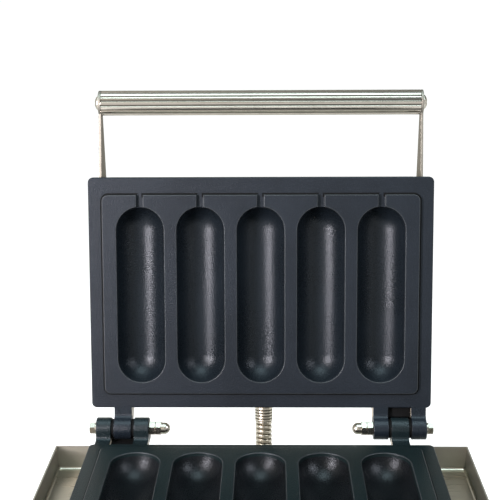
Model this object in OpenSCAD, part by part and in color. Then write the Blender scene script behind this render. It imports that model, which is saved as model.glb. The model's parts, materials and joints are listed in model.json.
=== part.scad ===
/* [Body] */
// Width of the body across the side walls
body_w = 331; // [315:1:400]
// Depth of the body from front wall to back wall
body_d = 228; // [222:1:300]
// Height of the body walls, from the base plate up to the rim of the tray
body_h = 112; // [104:1:170]
// Thickness of the stainless sheet
sheet = 1.2; // [0.8:0.1:2]
// Depth of the drip tray below the rim
tray_depth = 19.5; // [12:0.5:22]
// Height of the flanges that fasten the tray floor and the base plate
flange_h = 12; // [10:1:20]
// Number of cooling slots in each side wall
vent_n = 9; // [3:1:12]
// Width of a cooling slot
vent_w = 3.5; // [2:0.5:5]
// Height of a cooling slot
vent_h = 26; // [15:1:40]
// Spacing of the cooling slots
vent_pitch = 12; // [8:1:16]

/* [Feet] */
// Height of a rubber foot
foot_h = 18; // [10:1:30]
// Diameter of a foot at the table
foot_d = 30; // [24:1:36]
// Diameter of a foot under the base plate
foot_top_d = 34; // [26:1:40]
// Distance of a foot's axis from the walls
foot_inset = 26; // [22:1:40]

/* [Plates] */
// Width of a cast plate
plate_w = 272; // [262:1:290]
// Depth of a cast plate
plate_d = 185; // [183:1:195]
// Distance from the hinge axis to the plate's edge
plate_gap = 16.8; // [14:0.2:20]
// Corner radius of a plate
plate_corner = 4; // [1:0.5:8]
// Thickness of a plate, from the pad's face to the back
slab = 8; // [6:0.5:10]
// Width of the raised pad
pad_w = 250; // [242:1:258]
// Depth of the raised pad
pad_d = 159.4; // [155:0.2:165]
// Height of the pad above the plate's rim
pad_h = 3; // [2:0.5:4]
// Margin between the plate's hinge edge and the pad
pad_edge = 12; // [10:0.5:15]
// Corner radius of the pad
pad_corner = 5; // [2:0.5:8]
// Gap left between the two pads when the lid is shut
pad_gap = 0.3; // [0.1:0.1:1]
// Diameter of the posts on the back of a plate
post_d = 11; // [10:0.5:12]
// Clearance of the posts inside the walls of the cover
post_clear = 0.5; // [0.3:0.1:0.8]

/* [Wells] */
// Number of wells in a plate
well_n = 5; // [3:1:5]
// Spacing of the wells
well_pitch = 47.5; // [46:0.1:48.5]
// Width of a well
well_w = 37.4; // [34:0.2:38]
// Length of a well
well_l = 140.2; // [120:0.2:141]
// Margin between the pad's hinge edge and the wells
well_set = 9.6; // [8:0.2:12]
// Thickness of the wall behind a well
belly_wall = 3.5; // [3:0.1:4]
// Width of the channel that holds the stick, as deep as the pad is high
stick_w = 5.2; // [3:0.2:6]

/* [Hinge] */
// Distance of the hinge axis behind the back wall
axis_over = 3.3; // [2:0.1:8]
// Height of the hinge axis above the rim of the tray
axis_rise = 14; // [13:0.5:20]
// Height of the hinge axis above the parting plane of the plates
axis_lift = 2.9; // [1:0.1:4]
// Angle of the lid between shut and fully open
open_angle = 98.4; // [92:0.1:105]
// Outer radius of a hinge lug
lug_r = 8.7; // [7:0.1:9.5]
// Width of the single lug in the middle of a hinge
tongue_w = 14.2; // [10:0.2:18]
// Width of each of the two lugs beside it
ear_w = 12; // [8:0.5:16]
// Gap between neighbouring lugs
lug_gap = 2; // [1:0.1:3]
// Distance of a hinge's middle from the middle of the plate
hinge_x = 111; // [80:0.5:112]
// Height of the webs behind the upper lugs, lid shut
web_rise = 20; // [14:0.5:24]
// Thread diameter of the hinge bolts
bolt_d = 6; // [5:1:8]
// Width across flats of the hinge nuts
bolt_af = 10; // [9:0.5:14]
// Width across flats of the bolt heads
head_af = 8.4; // [8:0.2:12]
// Thickness of a bolt head
bolt_head_h = 4; // [3:0.2:6]
// Thickness of a spring washer
washer_t = 1.6; // [1:0.1:2.5]
// Thickness of a plain hinge nut
nut_h = 5; // [4:0.2:7]
// Length of the hexagon of a cap nut
cap_hex_h = 4.6; // [3:0.2:7]
// Radial clearance of a pin in its bore
pin_gap = 0.05; // [0.02:0.01:0.1]

/* [Lid] */
// Height of the cover over the back of the upper plate
cover_h = 42; // [38:1:60]
// Margin of the cover inside the plate's front and hinge edges
cover_inset = 2; // [1:0.5:5]

/* [Handle] */
// Width of the lid over the two arms
arm_span = 259; // [256:1:262]
// Thickness of an arm
arm_t = 2; // [1.5:0.1:3]
// Width of an arm where it lies on the cover
arm_w = 26; // [20:1:30]
// Width of an arm where it meets the handle
arm_tip_w = 10; // [8:0.5:14]
// Distance of the arm's middle behind the hinge axis, lid shut
arm_rise = 31; // [29:0.5:33]
// Length of an arm on the side of the cover
arm_hold = 54; // [40:1:80]
// Distance of the handle from the hinge axis
handle_reach = 260.2; // [245:0.2:300]
// Height of the handle above the hinge axis, lid shut
handle_rise = 26; // [22:0.5:32]
// Diameter of the handle tube
handle_d = 19.8; // [16:0.2:26]
// Bore of the handle tube
handle_bore = 14; // [10:0.5:15]
// Number of flutes along the handle
flute_n = 16; // [8:1:20]
// Radius of a flute
flute_r = 0.8; // [0.5:0.1:2]
// Depth of a flute
flute_depth = 0.7; // [0.3:0.1:1]
// Length of the plug in each end of the handle
plug_l = 22; // [18:1:40]

/* [Heating] */
// Diameter of the tubular heating elements
element_d = 8; // [6.5:0.1:8.2]
// Height of an element's two risers
riser_h = 14; // [10:1:16]
// Length of a terminal pin on a riser
terminal_l = 7; // [4:0.5:8]
// Diameter of a terminal pin
terminal_d = 4; // [3:0.5:5]
// Width of a clamp bar
bar_w = 14; // [10:1:20]
// Thickness of a clamp bar
bar_t = 3; // [2:0.5:4]
// Distance of each clamp bar from the middle of the wells
bar_set = 38; // [30:1:45]
// Diameter of the bosses that carry the clamp bars
boss_d = 10; // [9:0.5:11]
// Depth of the shield under the tray floor
shield_h = 26; // [20:1:40]
// Width of the shield's flange
shield_flange = 10; // [9:0.5:11]
// Diameter of the thermostat's bulb
bulb_d = 6; // [4:0.5:6.5]
// Length of the thermostat's bulb
bulb_l = 48; // [30:1:50]

/* [Controls] */
// Width of the control panel
panel_w = 250; // [236:1:290]
// Height of the control panel
panel_h = 72; // [68:1:80]
// Thickness of the control panel
panel_t = 1.5; // [1:0.1:3]
// Height of the panel's middle above the base plate
panel_rise = 46; // [44:1:60]
// Distance of each knob from the middle of the panel
knob_x = 80; // [66:1:85]
// Diameter of a knob's skirt
knob_d = 40; // [32:1:48]
// Thickness of a knob's skirt
skirt_h = 5; // [3:0.5:8]
// Diameter of a knob's grip
grip_d = 26; // [20:1:30]
// Height of a knob over all
knob_h = 20; // [14:1:28]
// Diameter of the control shafts
shaft_d = 6; // [5:0.5:8]
// Diameter of the bushing that a shaft turns in
bushing_d = 10; // [9:0.5:12]
// Width and height of the thermostat and timer housings
control_w = 42; // [36:1:46]
// Depth of the thermostat housing
thermostat_depth = 30; // [24:1:40]
// Depth of the timer housing
timer_depth = 38; // [24:1:44]
// Distance of the signal lamps from the middle of the panel
lamp_x = 32; // [28:1:36]
// Diameter of a lamp's bezel
lamp_d = 14; // [12:0.5:16]
// Width of the power switch's frame
switch_w = 21; // [19:0.5:24]
// Height of the power switch's frame
switch_h = 29; // [27:0.5:33]
// Depth of the switch behind the panel
switch_depth = 20; // [18:1:26]
// Thickness of the switch's frame in front of the panel
switch_lip = 2; // [1.5:0.1:3]
// Angle between off and on of the rocker
rocker_angle = 20; // [14:1:24]

/* [Fasteners] */
// Thread diameter of the screws in the plates and the feet
screw_d = 5; // [4:0.5:6]
// Thread diameter of the small screws
small_screw_d = 4; // [3:0.5:4.5]
// Clearance of flat faces that are seated on each other
seat = 0.1; // [0.05:0.05:0.3]
// Clearance of curved faces that lie against each other
touch = 0.3; // [0.2:0.05:0.5]

/* [Conduit] */
// Outer diameter of the flexible conduit
hose_d = 13.2; // [11:0.2:16]
// Depth of the groove between two ribs
hose_groove = 1.2; // [0.8:0.1:2]
// Bore of the conduit
hose_bore = 9; // [6:0.2:10]
// Spacing of the ribs
hose_pitch = 3.8; // [3:0.1:6]
// Sideways place of the conduit on the lid
hose_x = 2; // [-20:0.5:20]
// Length of the ferrule outside the cover
ferrule_l = 19; // [14:0.5:24]
// Outer diameter of the ferrule
ferrule_d = 14.2; // [13.6:0.1:18]
// Distance of the elbow from the outside of the side wall
elbow_inset = 31.5; // [28:0.5:60]
// Gap between the elbow's locknut and the flange of the tray floor
elbow_gap = 1; // [0.5:0.5:12]
// Distance of the elbow's arm behind the back wall
elbow_reach = 24; // [22:0.5:34]
// Clearance of the conduit over the table
hose_clear = 4; // [3:0.5:15]
// Diameter of the hole for the mains lead
mains_bore = 8.5; // [6:0.5:10]
// Distance of the mains gland from the outside of the side wall
mains_inset = 57.5; // [40:0.5:75]
// Height of the mains gland above the base plate
mains_rise = 30; // [26:1:44]

/* [Hidden] */
$fn = 48;

steel = "#c9c5b8";
dark_coat = "#2b3138";
grey_wool = "#8d8676";
black_plastic = "#1c1c1e";
ceramic = "#d8d3c6";
heat_steel = "#7c776e";

// Levels of the body
rim_z = foot_h + body_h;
floor_z = rim_z - tray_depth;
axis_z = rim_z + axis_rise;
axis_y = body_d / 2 + axis_over;
front_y = -body_d / 2;
back_y = body_d / 2;
inner_w = body_w - 2 * sheet;
inner_d = body_d - 2 * sheet;

// Places along a plate, measured from the hinge axis
plate_mid = plate_gap + plate_d / 2;
plate_far = plate_gap + plate_d;
pad_mid = plate_gap + pad_edge + pad_d / 2;
well_near = plate_gap + pad_edge + well_set;
well_far = well_near + well_l;
well_mid = (well_near + well_far) / 2;
well_r = well_w / 2;
belly_r = well_r + belly_wall;
bulge_near = well_near + well_r;
bulge_far = well_far - well_r;
opening_margin = 1.4;
opening_near = well_near - belly_wall - opening_margin;
opening_far = well_far + belly_wall + opening_margin;
outer_well_x = (well_n - 1) / 2 * well_pitch;
side_x = outer_well_x + well_pitch / 2;
opening_w = 2 * side_x + bar_w + 2 * opening_margin;
lower_face = -axis_lift - pad_gap / 2;
upper_face = -axis_lift + pad_gap / 2;
plate_back_z = axis_z + lower_face - slab;

// Fasteners
head_ratio = 1.9;
head_height = 0.6;
plate_screw_l = 16;
cover_screw_l = 18;
shield_screw_l = 5;
shield_screw_set = 30;
sheet_screw_l = 8;
panel_screw_l = 9;
handle_screw_l = 15;
base_screw_y = body_d / 2 - 40;
base_screw_z = foot_h + sheet + flange_h / 2;

// Places behind a plate, measured from the pad's face
element_r = element_d / 2;
element_depth = slab + touch + element_r;
bar_depth = belly_r + touch;
bar_back = bar_depth + bar_t;
wool_depth = bar_back + small_screw_d * head_height + 2 * touch;
riser_s = opening_near + 1.6 + element_r;
wool_gap = 2;
wool_near = riser_s + element_r + wool_gap;
wool_w = 2 * (side_x - boss_d / 2 - wool_gap);

// Hinge lugs, measured from the middle of a hinge
ear_in = tongue_w / 2 + lug_gap;
hinge_half = ear_in + ear_w;
head_out = hinge_x + hinge_half + washer_t;
nut_in = hinge_x - hinge_half;
saddle_r = lug_r + 1;
cap_dome_r = bolt_af / 2 * 0.92;

// The lid
cover_near = plate_gap + cover_inset;
cover_far = plate_far - cover_inset;
cover_w = arm_span - 2 * arm_t - 2 * seat;
cover_foot = upper_face + slab + seat;
cover_top = cover_foot + cover_h;
post_x = cover_w / 2 - sheet - post_clear - post_d / 2;
post_near = cover_near + sheet + post_clear + post_d / 2;
post_far = cover_far - sheet - post_clear - post_d / 2;
lid_wool_w = 2 * (post_x - post_d / 2 - wool_gap);

// Hinge lugs in the plane across the axis: y runs back, away from the plate
lug_in = -plate_gap - plate_corner;
lower_root = lower_face - pad_h;
lower_foot = lower_face - slab - 1;
upper_root = upper_face + pad_h;
upper_back = upper_face + slab;
web_y = touch - cover_near;
web_turn = atan2(web_rise, web_y) - acos(lug_r / norm([web_y, web_rise]));
web_end = lug_r * [cos(web_turn), sin(web_turn)];
tube_l = arm_span - 2 * arm_t - 2 * seat;
handle_r = handle_d / 2;
ferrule_rise = handle_rise;
ferrule_neck = 14;

// The controls
panel_z = foot_h + panel_rise;
panel_y = front_y - seat - panel_t;
lamp_z = panel_z + 16;
bezel_t = 2.5;
bezel_depth = 16;
bezel_hole_d = lamp_d - 3;
lens_bore_d = lamp_d - 5;
lamp_depth = 12;
switch_z = panel_z - 6;
rocker_depth = 4;
rocker_half = 10.4;
pocket_half = 11.9;
pivot_d = 3;
pivot_half = switch_w / 2 - 1.6;

// The connections inside
inner_y = back_y - 45;
clamps_set = 40;
clamps_w = 48;
clamps_d = 22;
clamps_h = 20;
clamp_pitch = 15;
clamp_d = 5;
wire_d = 6;
wire_z = 7;
stud_set = 45;

// The glands on the back wall
mains_x = mains_inset - body_w / 2;
mains_z = foot_h + mains_rise;
elbow_x = body_w / 2 - elbow_inset;
gland_d = 16;
gland_af = 22;
locknut_h = 5;
elbow_z = floor_z - flange_h - elbow_gap - gland_af / 2;
elbow_d = 18;
elbow_arm = 10;

// The conduit, from the ferrule on the lid to the elbow on the back wall
hose_r = hose_d / 2;
lid_dir = [0, cos(open_angle), -sin(open_angle)];
ferrule_s = cover_near - ferrule_l;
hose_start = [
    hose_x,
    axis_y - ferrule_s * cos(open_angle) + ferrule_rise * sin(open_angle),
    axis_z + ferrule_s * sin(open_angle) + ferrule_rise * cos(open_angle)
] + seat * lid_dir;
hose_stop = [elbow_x, back_y + elbow_reach, elbow_z - elbow_arm - seat];
hose_a = hose_start + hose_d * lid_dir;
hose_b = hose_stop - [0, 0, hose_d];
low_z = hose_r + hose_clear;
hose_bend = hose_b[2] - low_z;
hose_swing = elbow_x - hose_bend - hose_a[0];
hose_drop = hose_a[2] - low_z;
hose_split = 0.65;
hose_sides = 8;
hose_steps = 120;

// The conduit swings down and aside from the lid, then rises to the elbow: u runs from 0 to 1
function hose_sway(u) =
    (1 + 2 * u) * pow(1 - u, 2) * hose_a[1]
    + 2 * u * pow(1 - u, 2) * hose_drop * lid_dir[1]
    + u * u * (3 - 2 * u) * hose_b[1];
function hose_point(u) =
    let (
        down = min(u / hose_split, 1) * 90,
        up = max((u - hose_split) / (1 - hose_split), 0) * 90
    )
    [
        hose_a[0] + hose_swing * (1 - cos(down)) + hose_bend * sin(up),
        hose_sway(u),
        hose_a[2] - hose_drop * sin(down) + hose_bend * (1 - cos(up))
    ];
function hose_slope(u) =
    let (step = hose_point(min(u + 0.005, 1)) - hose_point(max(u - 0.005, 0)))
    step / norm(step);
function hose_run(i) = i == 0 ? 0 : hose_run(i - 1) + norm(hose_fine[i] - hose_fine[i - 1]);
function hose_ring(centre, ahead, radius) =
    let (
        u = cross(ahead, [0, 1, 0]) / norm(cross(ahead, [0, 1, 0])),
        v = cross(ahead, u)
    )
    [
        for (k = [0 : hose_sides - 1])
            centre + radius * (cos(360 / hose_sides * k) * u + sin(360 / hose_sides * k) * v)
    ];
hose_fine = [for (i = [0 : hose_steps]) hose_point(i / hose_steps)];
hose_table = [for (i = [0 : hose_steps]) [hose_run(i), i / hose_steps]];
hose_l = hose_run(hose_steps);
hose_inner_rings = 2 * round(hose_l / hose_pitch);
hose_places = [for (i = [0 : hose_inner_rings]) lookup(hose_l * i / hose_inner_rings, hose_table)];
hose_centres = concat([hose_start], [for (u = hose_places) hose_point(u)], [hose_stop]);
hose_slopes = concat([lid_dir], [for (u = hose_places) hose_slope(u)], [[0, 0, 1]]);
hose_rings = len(hose_centres);

// Box with its middle over the origin, standing on the plane z = 0
module block(w, d, h) {
    translate([-w / 2, -d / 2, 0]) cube([w, d, h]);
}

// Rectangle with round corners
module rounded_rect(w, d, r) {
    square([w - 2 * r, d], center = true);
    square([w, d - 2 * r], center = true);
    for (x = [-1, 1], y = [-1, 1]) {
        translate([x * (w / 2 - r), y * (d / 2 - r)]) circle(r);
    }
}

// Rod along x from x0 to x1
module rod_x(d, x0, x1) {
    translate([x0, 0, 0]) rotate([0, 90, 0]) cylinder(d = d, h = x1 - x0);
}

// Rod along y from y0 to y1
module rod_y(d, y0, y1) {
    translate([0, y0, 0]) rotate([-90, 0, 0]) cylinder(d = d, h = y1 - y0);
}

// Hexagon of the given width across flats, along z
module hexagon(af, h) {
    cylinder(d = af / cos(30), h = h, $fn = 6);
}

// Round bar with ball ends along y, with its middle at the origin
module capsule(r, l) {
    rotate([90, 0, 0]) rotate_extrude() intersection() {
        union() {
            square([2 * r, l - 2 * r], center = true);
            for (side = [-1, 1]) {
                translate([0, side * (l / 2 - r)]) circle(r);
            }
        }
        translate([0, -l]) square([2 * r, 2 * l]);
    }
}

// Screw with a low round head on z = 0 and its shank down to -l
module screw(d, l) {
    translate([0, 0, -l]) cylinder(d = d, h = l);
    rotate_extrude() intersection() {
        translate([0, -d * head_ratio * 0.45]) circle(d * head_ratio * 0.75);
        square([d * head_ratio / 2, d * head_height]);
    }
}

// Places that follow the lid: the axes of the shut lid, turned open about the hinge
module on_lid() {
    translate([0, axis_y, axis_z]) rotate([-open_angle, 0, 0]) children();
}

// Places of the lower plate, measured from the hinge axis
module on_base() {
    translate([0, axis_y, axis_z]) children();
}

// Back of a plate, with its pad's face on z = 0 and its depth along -y
module at_lower_face() {
    on_base() translate([0, 0, lower_face]) children();
}

module at_upper_face() {
    on_lid() translate([0, 0, upper_face]) mirror([0, 0, 1]) children();
}

module at_posts() {
    for (x = [-1, 1], s = [post_near, post_far]) {
        translate([x * post_x, -s, 0]) children();
    }
}

module at_bar_ends() {
    for (x = [-1, 1], side = [-1, 1]) {
        translate([x * side_x, -well_mid - side * bar_set, 0]) children();
    }
}

module at_wells() {
    for (i = [0 : well_n - 1]) {
        translate([(i - (well_n - 1) / 2) * well_pitch, -well_mid, 0]) children();
    }
}

// Cast plate with its wells, seen with the pad up
module plate_core(post_l) {
    difference() {
        union() {
            translate([0, -plate_mid, -slab])
                linear_extrude(slab - pad_h) rounded_rect(plate_w, plate_d, plate_corner);
            translate([0, -pad_mid, -slab])
                linear_extrude(slab) rounded_rect(pad_w, pad_d, pad_corner);
            intersection() {
                at_wells() capsule(belly_r, well_l + 2 * belly_wall);
                translate([0, -well_mid, -belly_r - 1])
                    block(plate_w, plate_d + 2 * belly_r, belly_r + 1 - slab / 2);
            }
            at_posts() translate([0, 0, -slab - post_l]) cylinder(d = post_d, h = post_l + slab / 2);
            at_bar_ends() translate([0, 0, -bar_depth]) cylinder(d = boss_d, h = bar_depth - slab / 2);
        }
        at_wells() capsule(well_r, well_l);
        at_wells() translate([-stick_w / 2, -plate_d, -pad_h])
            cube([stick_w, plate_d - well_l / 2 + well_r / 2, pad_h + 1]);
        at_posts() translate([0, 0, -slab - post_l - 1])
            cylinder(d = screw_d + 2 * pin_gap, h = post_l + slab / 2);
        at_bar_ends() translate([0, 0, -bar_depth - 1])
            cylinder(d = small_screw_d + 2 * pin_gap, h = bar_depth - slab / 2);
    }
}

// Outline across the axis, drawn out along it
module along_axis(x0, x1) {
    translate([x0, 0, 0]) rotate([90, 0, 90]) linear_extrude(x1 - x0) children();
}

// Lug of the lower plate, on a foot as deep as its eye
module lower_lug(x0, x1) {
    along_axis(x0, x1) {
        circle(lug_r);
        polygon([
            [lug_r, 0], [lug_r, lower_foot], [lug_in, lower_foot], [lug_in, lower_root],
            [-lug_r, lower_root], [-lug_r, 0]
        ]);
    }
}

// Lug of the upper plate, with a web that slants up its back
module upper_lug(x0, x1) {
    along_axis(x0, x1) {
        circle(lug_r);
        polygon([
            [0, upper_root], [lug_in, upper_root], [lug_in, upper_back], [web_y, upper_back],
            [web_y, web_rise], web_end
        ]);
    }
}

// Floor between the two lower lugs, under the eye that turns there
module lower_saddle(middle) {
    along_axis(middle - ear_in - 1, middle + ear_in + 1) polygon([
        [lug_r, lower_foot], [lug_in, lower_foot], [lug_in, -saddle_r], [lug_r, -saddle_r]
    ]);
}

// Web between the two upper lugs, behind the eye that turns there
module upper_saddle(middle) {
    along_axis(middle - ear_in - 1, middle + ear_in + 1) difference() {
        polygon([[0, upper_back - 1], [web_y, upper_back - 1], [web_y, web_rise], web_end]);
        circle(saddle_r);
    }
}

module lower_ears(middle) {
    lower_lug(middle - hinge_half, middle - ear_in);
    lower_lug(middle + ear_in, middle + hinge_half);
    lower_saddle(middle);
}

module upper_ears(middle) {
    upper_lug(middle - hinge_half, middle - ear_in);
    upper_lug(middle + ear_in, middle + hinge_half);
    upper_saddle(middle);
}

module hinge_bore() {
    rod_x(bolt_d + 2 * pin_gap, -plate_w, plate_w);
}

module lower_plate() {
    post_l = plate_back_z - floor_z - seat;
    color(dark_coat) difference() {
        union() {
            at_lower_face() plate_core(post_l);
            on_base() lower_ears(-hinge_x);
            on_base() lower_lug(hinge_x - tongue_w / 2, hinge_x + tongue_w / 2);
        }
        on_base() hinge_bore();
    }
}

module upper_plate() {
    post_l = cover_h - sheet;
    color(dark_coat) difference() {
        union() {
            at_upper_face() plate_core(post_l);
            on_lid() upper_lug(-hinge_x - tongue_w / 2, tongue_w / 2 - hinge_x);
            on_lid() upper_ears(hinge_x);
        }
        on_lid() hinge_bore();
    }
}

// Bent tube between the wells, with its two ends raised off the plate
module element() {
    legs = well_n - 1;
    function leg_x(i) = (i - (legs - 1) / 2) * well_pitch;
    translate([0, 0, -element_depth]) {
        for (i = [0 : legs - 1]) {
            translate([leg_x(i), 0, 0]) rod_y(element_d, -bulge_far, -bulge_near);
        }
        for (i = [0 : legs - 2]) {
            far = i % 2 == 0;
            translate([leg_x(i) + well_pitch / 2, far ? -bulge_far : -bulge_near, 0])
                rotate([0, 0, far ? 180 : 0])
                    rotate_extrude(angle = 180) translate([well_pitch / 2, 0]) circle(element_r);
        }
        for (i = [0, legs - 1]) {
            near = i == 0 || legs % 2 == 0;
            tip = near ? -riser_s : -(well_near + well_far) + riser_s;
            translate([leg_x(i), 0, 0]) {
                rod_y(element_d, min(tip, -bulge_far), max(tip, -bulge_near));
                translate([0, tip, 0]) sphere(element_r);
                translate([0, tip, -riser_h]) cylinder(d = element_d, h = riser_h);
                translate([0, tip, -riser_h - terminal_l]) cylinder(d = terminal_d, h = terminal_l);
            }
        }
    }
}

module lower_element() {
    color(heat_steel) at_lower_face() element();
}

module upper_element() {
    color(heat_steel) at_upper_face() element();
}

// Two flat bars across the wells, with a finger on each leg of the element
module clamp_bars() {
    finger_top = element_depth + element_r + touch;
    for (side = [-1, 1]) {
        translate([0, -well_mid - side * bar_set, -bar_back]) difference() {
            union() {
                block(2 * side_x + bar_w, bar_w, bar_t);
                for (i = [0 : well_n - 2]) {
                    translate([(i - (well_n - 2) / 2) * well_pitch, 0, 0])
                        block(element_d, bar_w, bar_back - finger_top);
                }
            }
            for (x = [-1, 1]) {
                translate([x * side_x, 0, -1]) cylinder(d = small_screw_d + 4 * pin_gap, h = bar_t + 2);
            }
        }
    }
}

module clamp_screws() {
    at_bar_ends() translate([0, 0, -bar_back - seat]) mirror([0, 0, 1])
        screw(small_screw_d, bar_back - slab - 3);
}

module lower_clamp_bars() {
    color(heat_steel) at_lower_face() clamp_bars();
}

module upper_clamp_bars() {
    color(heat_steel) at_upper_face() clamp_bars();
}

module lower_clamp_screws() {
    color(steel) at_lower_face() clamp_screws();
}

module upper_clamp_screws() {
    color(steel) at_upper_face() clamp_screws();
}

// Mineral wool blanket behind the clamp bars, as thick as its room
module wool(wide, thick) {
    translate([0, -(wool_near + well_far) / 2, -wool_depth - thick])
        linear_extrude(thick) rounded_rect(wide, well_far - wool_near, 6);
}

module lower_insulation() {
    shield_floor = floor_z - seat - shield_h;
    color(grey_wool) at_lower_face() wool(wool_w, axis_z + lower_face - wool_depth - shield_floor - seat);
}

module upper_insulation() {
    color(grey_wool) at_upper_face() wool(lid_wool_w, slab + cover_h - sheet - wool_depth);
}

module body_shell() {
    cut_w = panel_w - 24;
    cut_h = panel_h - 22;
    color(steel) difference() {
        translate([0, 0, foot_h + sheet]) block(body_w, body_d, body_h - sheet);
        translate([0, 0, foot_h]) block(inner_w, inner_d, body_h + 1);
        translate([0, front_y, panel_z - cut_h / 2]) block(cut_w, 4 * sheet, cut_h);
        translate([mains_x, 0, mains_z]) rod_y(gland_d + 2 * seat, back_y - 2 * sheet, back_y + 1);
        translate([elbow_x, 0, elbow_z]) rod_y(gland_d + 2 * seat, back_y - 2 * sheet, back_y + 1);
        for (i = [0 : vent_n - 1]) {
            translate([0, (i - (vent_n - 1) / 2) * vent_pitch, panel_z - vent_h / 2])
                block(body_w + 1, vent_w, vent_h);
        }
        at_panel_screws() rod_y(small_screw_d + 4 * pin_gap, -4 * sheet, 4 * sheet);
        at_base_screws() rod_x(small_screw_d + 4 * pin_gap, -4 * sheet, 4 * sheet);
    }
}

module at_base_screws() {
    for (x = [-1, 1], y = [-1, 1]) {
        translate([x * body_w / 2, y * base_screw_y, base_screw_z]) children();
    }
}

module base_screws() {
    color(steel) for (x = [-1, 1], y = [-1, 1]) {
        translate([x * (body_w / 2 + seat), y * base_screw_y, base_screw_z])
            rotate([0, x * 90, 0]) screw(small_screw_d, sheet_screw_l);
    }
}

// Bottom panel with a flange along each side inside the walls and slots for cooling air
module base_plate() {
    flange_w = inner_w - 2 * seat;
    color(steel) difference() {
        union() {
            translate([0, 0, foot_h]) block(body_w, body_d, sheet - seat);
            translate([0, 0, foot_h]) difference() {
                block(flange_w, inner_d - 2 * seat, sheet + flange_h);
                translate([0, 0, -1]) block(flange_w - 2 * sheet, body_d, body_h);
            }
        }
        at_feet() translate([0, 0, -1]) cylinder(d = screw_d + 4 * pin_gap, h = sheet + 2);
        at_base_screws() rod_x(small_screw_d + 2 * pin_gap, -8 * sheet, 8 * sheet);
        for (i = [0 : vent_n - 1]) {
            translate([(i - (vent_n - 1) / 2) * vent_pitch, 0, foot_h - 1])
                block(vent_w, 2 * vent_h, sheet + 2);
        }
        translate([0, 0, foot_h - 1]) earth_place() cylinder(d = screw_d + 2 * pin_gap, h = 4 * sheet);
    }
}

module at_feet() {
    for (x = [-1, 1], y = [-1, 1]) {
        translate([x * (body_w / 2 - foot_inset), y * (body_d / 2 - foot_inset), foot_h]) children();
    }
}

module feet() {
    color(black_plastic) at_feet() translate([0, 0, -foot_h]) difference() {
        cylinder(d1 = foot_d, d2 = foot_top_d, h = foot_h - seat);
        translate([0, 0, -1]) cylinder(d = 2.4 * screw_d, h = foot_h / 2 + 1);
        cylinder(d = screw_d + 2 * pin_gap, h = foot_h);
    }
}

module foot_screws() {
    color(steel) at_feet() translate([0, 0, -foot_h / 2 - seat]) mirror([0, 0, 1])
        screw(screw_d, foot_h / 2 + 8);
}

// Floor of the drip tray, with flanges down the walls and a collar round its opening
module tray_floor() {
    outer_w = inner_w - 2 * seat;
    outer_d = inner_d - 2 * seat;
    opening_l = opening_far - opening_near;
    opening_y = axis_y - (opening_near + opening_far) / 2;
    collar_h = plate_back_z - floor_z - element_d - 3 * touch;
    color(steel) difference() {
        union() {
            translate([0, 0, floor_z - flange_h]) block(outer_w, outer_d, flange_h);
            translate([0, opening_y, floor_z - sheet])
                block(opening_w + 2 * sheet, opening_l + 2 * sheet, sheet + collar_h);
        }
        translate([0, 0, floor_z - flange_h - 1])
            block(outer_w - 2 * sheet, outer_d - 2 * sheet, flange_h + 1 - sheet);
        translate([0, opening_y, floor_z - flange_h]) block(opening_w, opening_l, flange_h + collar_h + 1);
        on_base() at_posts() translate([0, 0, floor_z - axis_z - 2 * sheet])
            cylinder(d = screw_d + 4 * pin_gap, h = 4 * sheet);
        at_shield_screws() translate([0, 0, -1]) cylinder(d = small_screw_d + 2 * pin_gap, h = 4 * sheet);
    }
}

module plate_screws() {
    color(steel) on_base() at_posts() translate([0, 0, floor_z - axis_z - sheet - seat])
        mirror([0, 0, 1]) screw(screw_d, plate_screw_l);
}

module at_shield_screws() {
    for (x = [-1, 1], s = [well_near + shield_screw_set, well_far - shield_screw_set]) {
        translate([x * (opening_w / 2 + sheet + shield_flange / 2), axis_y - s, floor_z - sheet]) children();
    }
}

// Pan under the tray floor that holds the lower blanket
module heat_shield() {
    opening_l = opening_far - opening_near;
    opening_y = axis_y - (opening_near + opening_far) / 2;
    top_z = floor_z - sheet - seat;
    color(heat_steel) difference() {
        union() {
            translate([0, opening_y, top_z - shield_h])
                block(opening_w + 2 * sheet, opening_l + 2 * sheet, shield_h);
            translate([0, opening_y, top_z - sheet])
                block(opening_w + 2 * sheet + 2 * shield_flange, opening_l + 2 * sheet, sheet);
        }
        translate([0, opening_y, top_z - shield_h + sheet]) block(opening_w, opening_l, shield_h);
        at_shield_screws() translate([0, 0, -4 * sheet])
            cylinder(d = small_screw_d + 4 * pin_gap, h = 8 * sheet);
    }
}

module shield_screws() {
    color(steel) at_shield_screws() translate([0, 0, -sheet - 2 * seat]) mirror([0, 0, 1])
        screw(small_screw_d, shield_screw_l);
}

// Sensing bulb of the thermostat in its clip, against the plate beside the last well
module thermostat_bulb() {
    clip_l = 12;
    color(steel) at_lower_face() translate([side_x, -well_mid, -slab - touch - bulb_d / 2]) {
        capsule(bulb_d / 2, bulb_l);
        translate([0, 0, -bulb_d / 2 - sheet / 2]) block(bulb_d + sheet, clip_l, sheet);
        translate([bulb_d / 2, 0, -bulb_d / 2 - sheet / 2])
            block(sheet, clip_l, bulb_d + sheet / 2 + touch - seat);
    }
}

module at_panel_screws() {
    for (x = [-1, 1], z = [-1, 1]) {
        translate([x * (panel_w / 2 - 6), front_y, panel_z + z * (panel_h / 2 - 6)]) children();
    }
}

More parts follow.
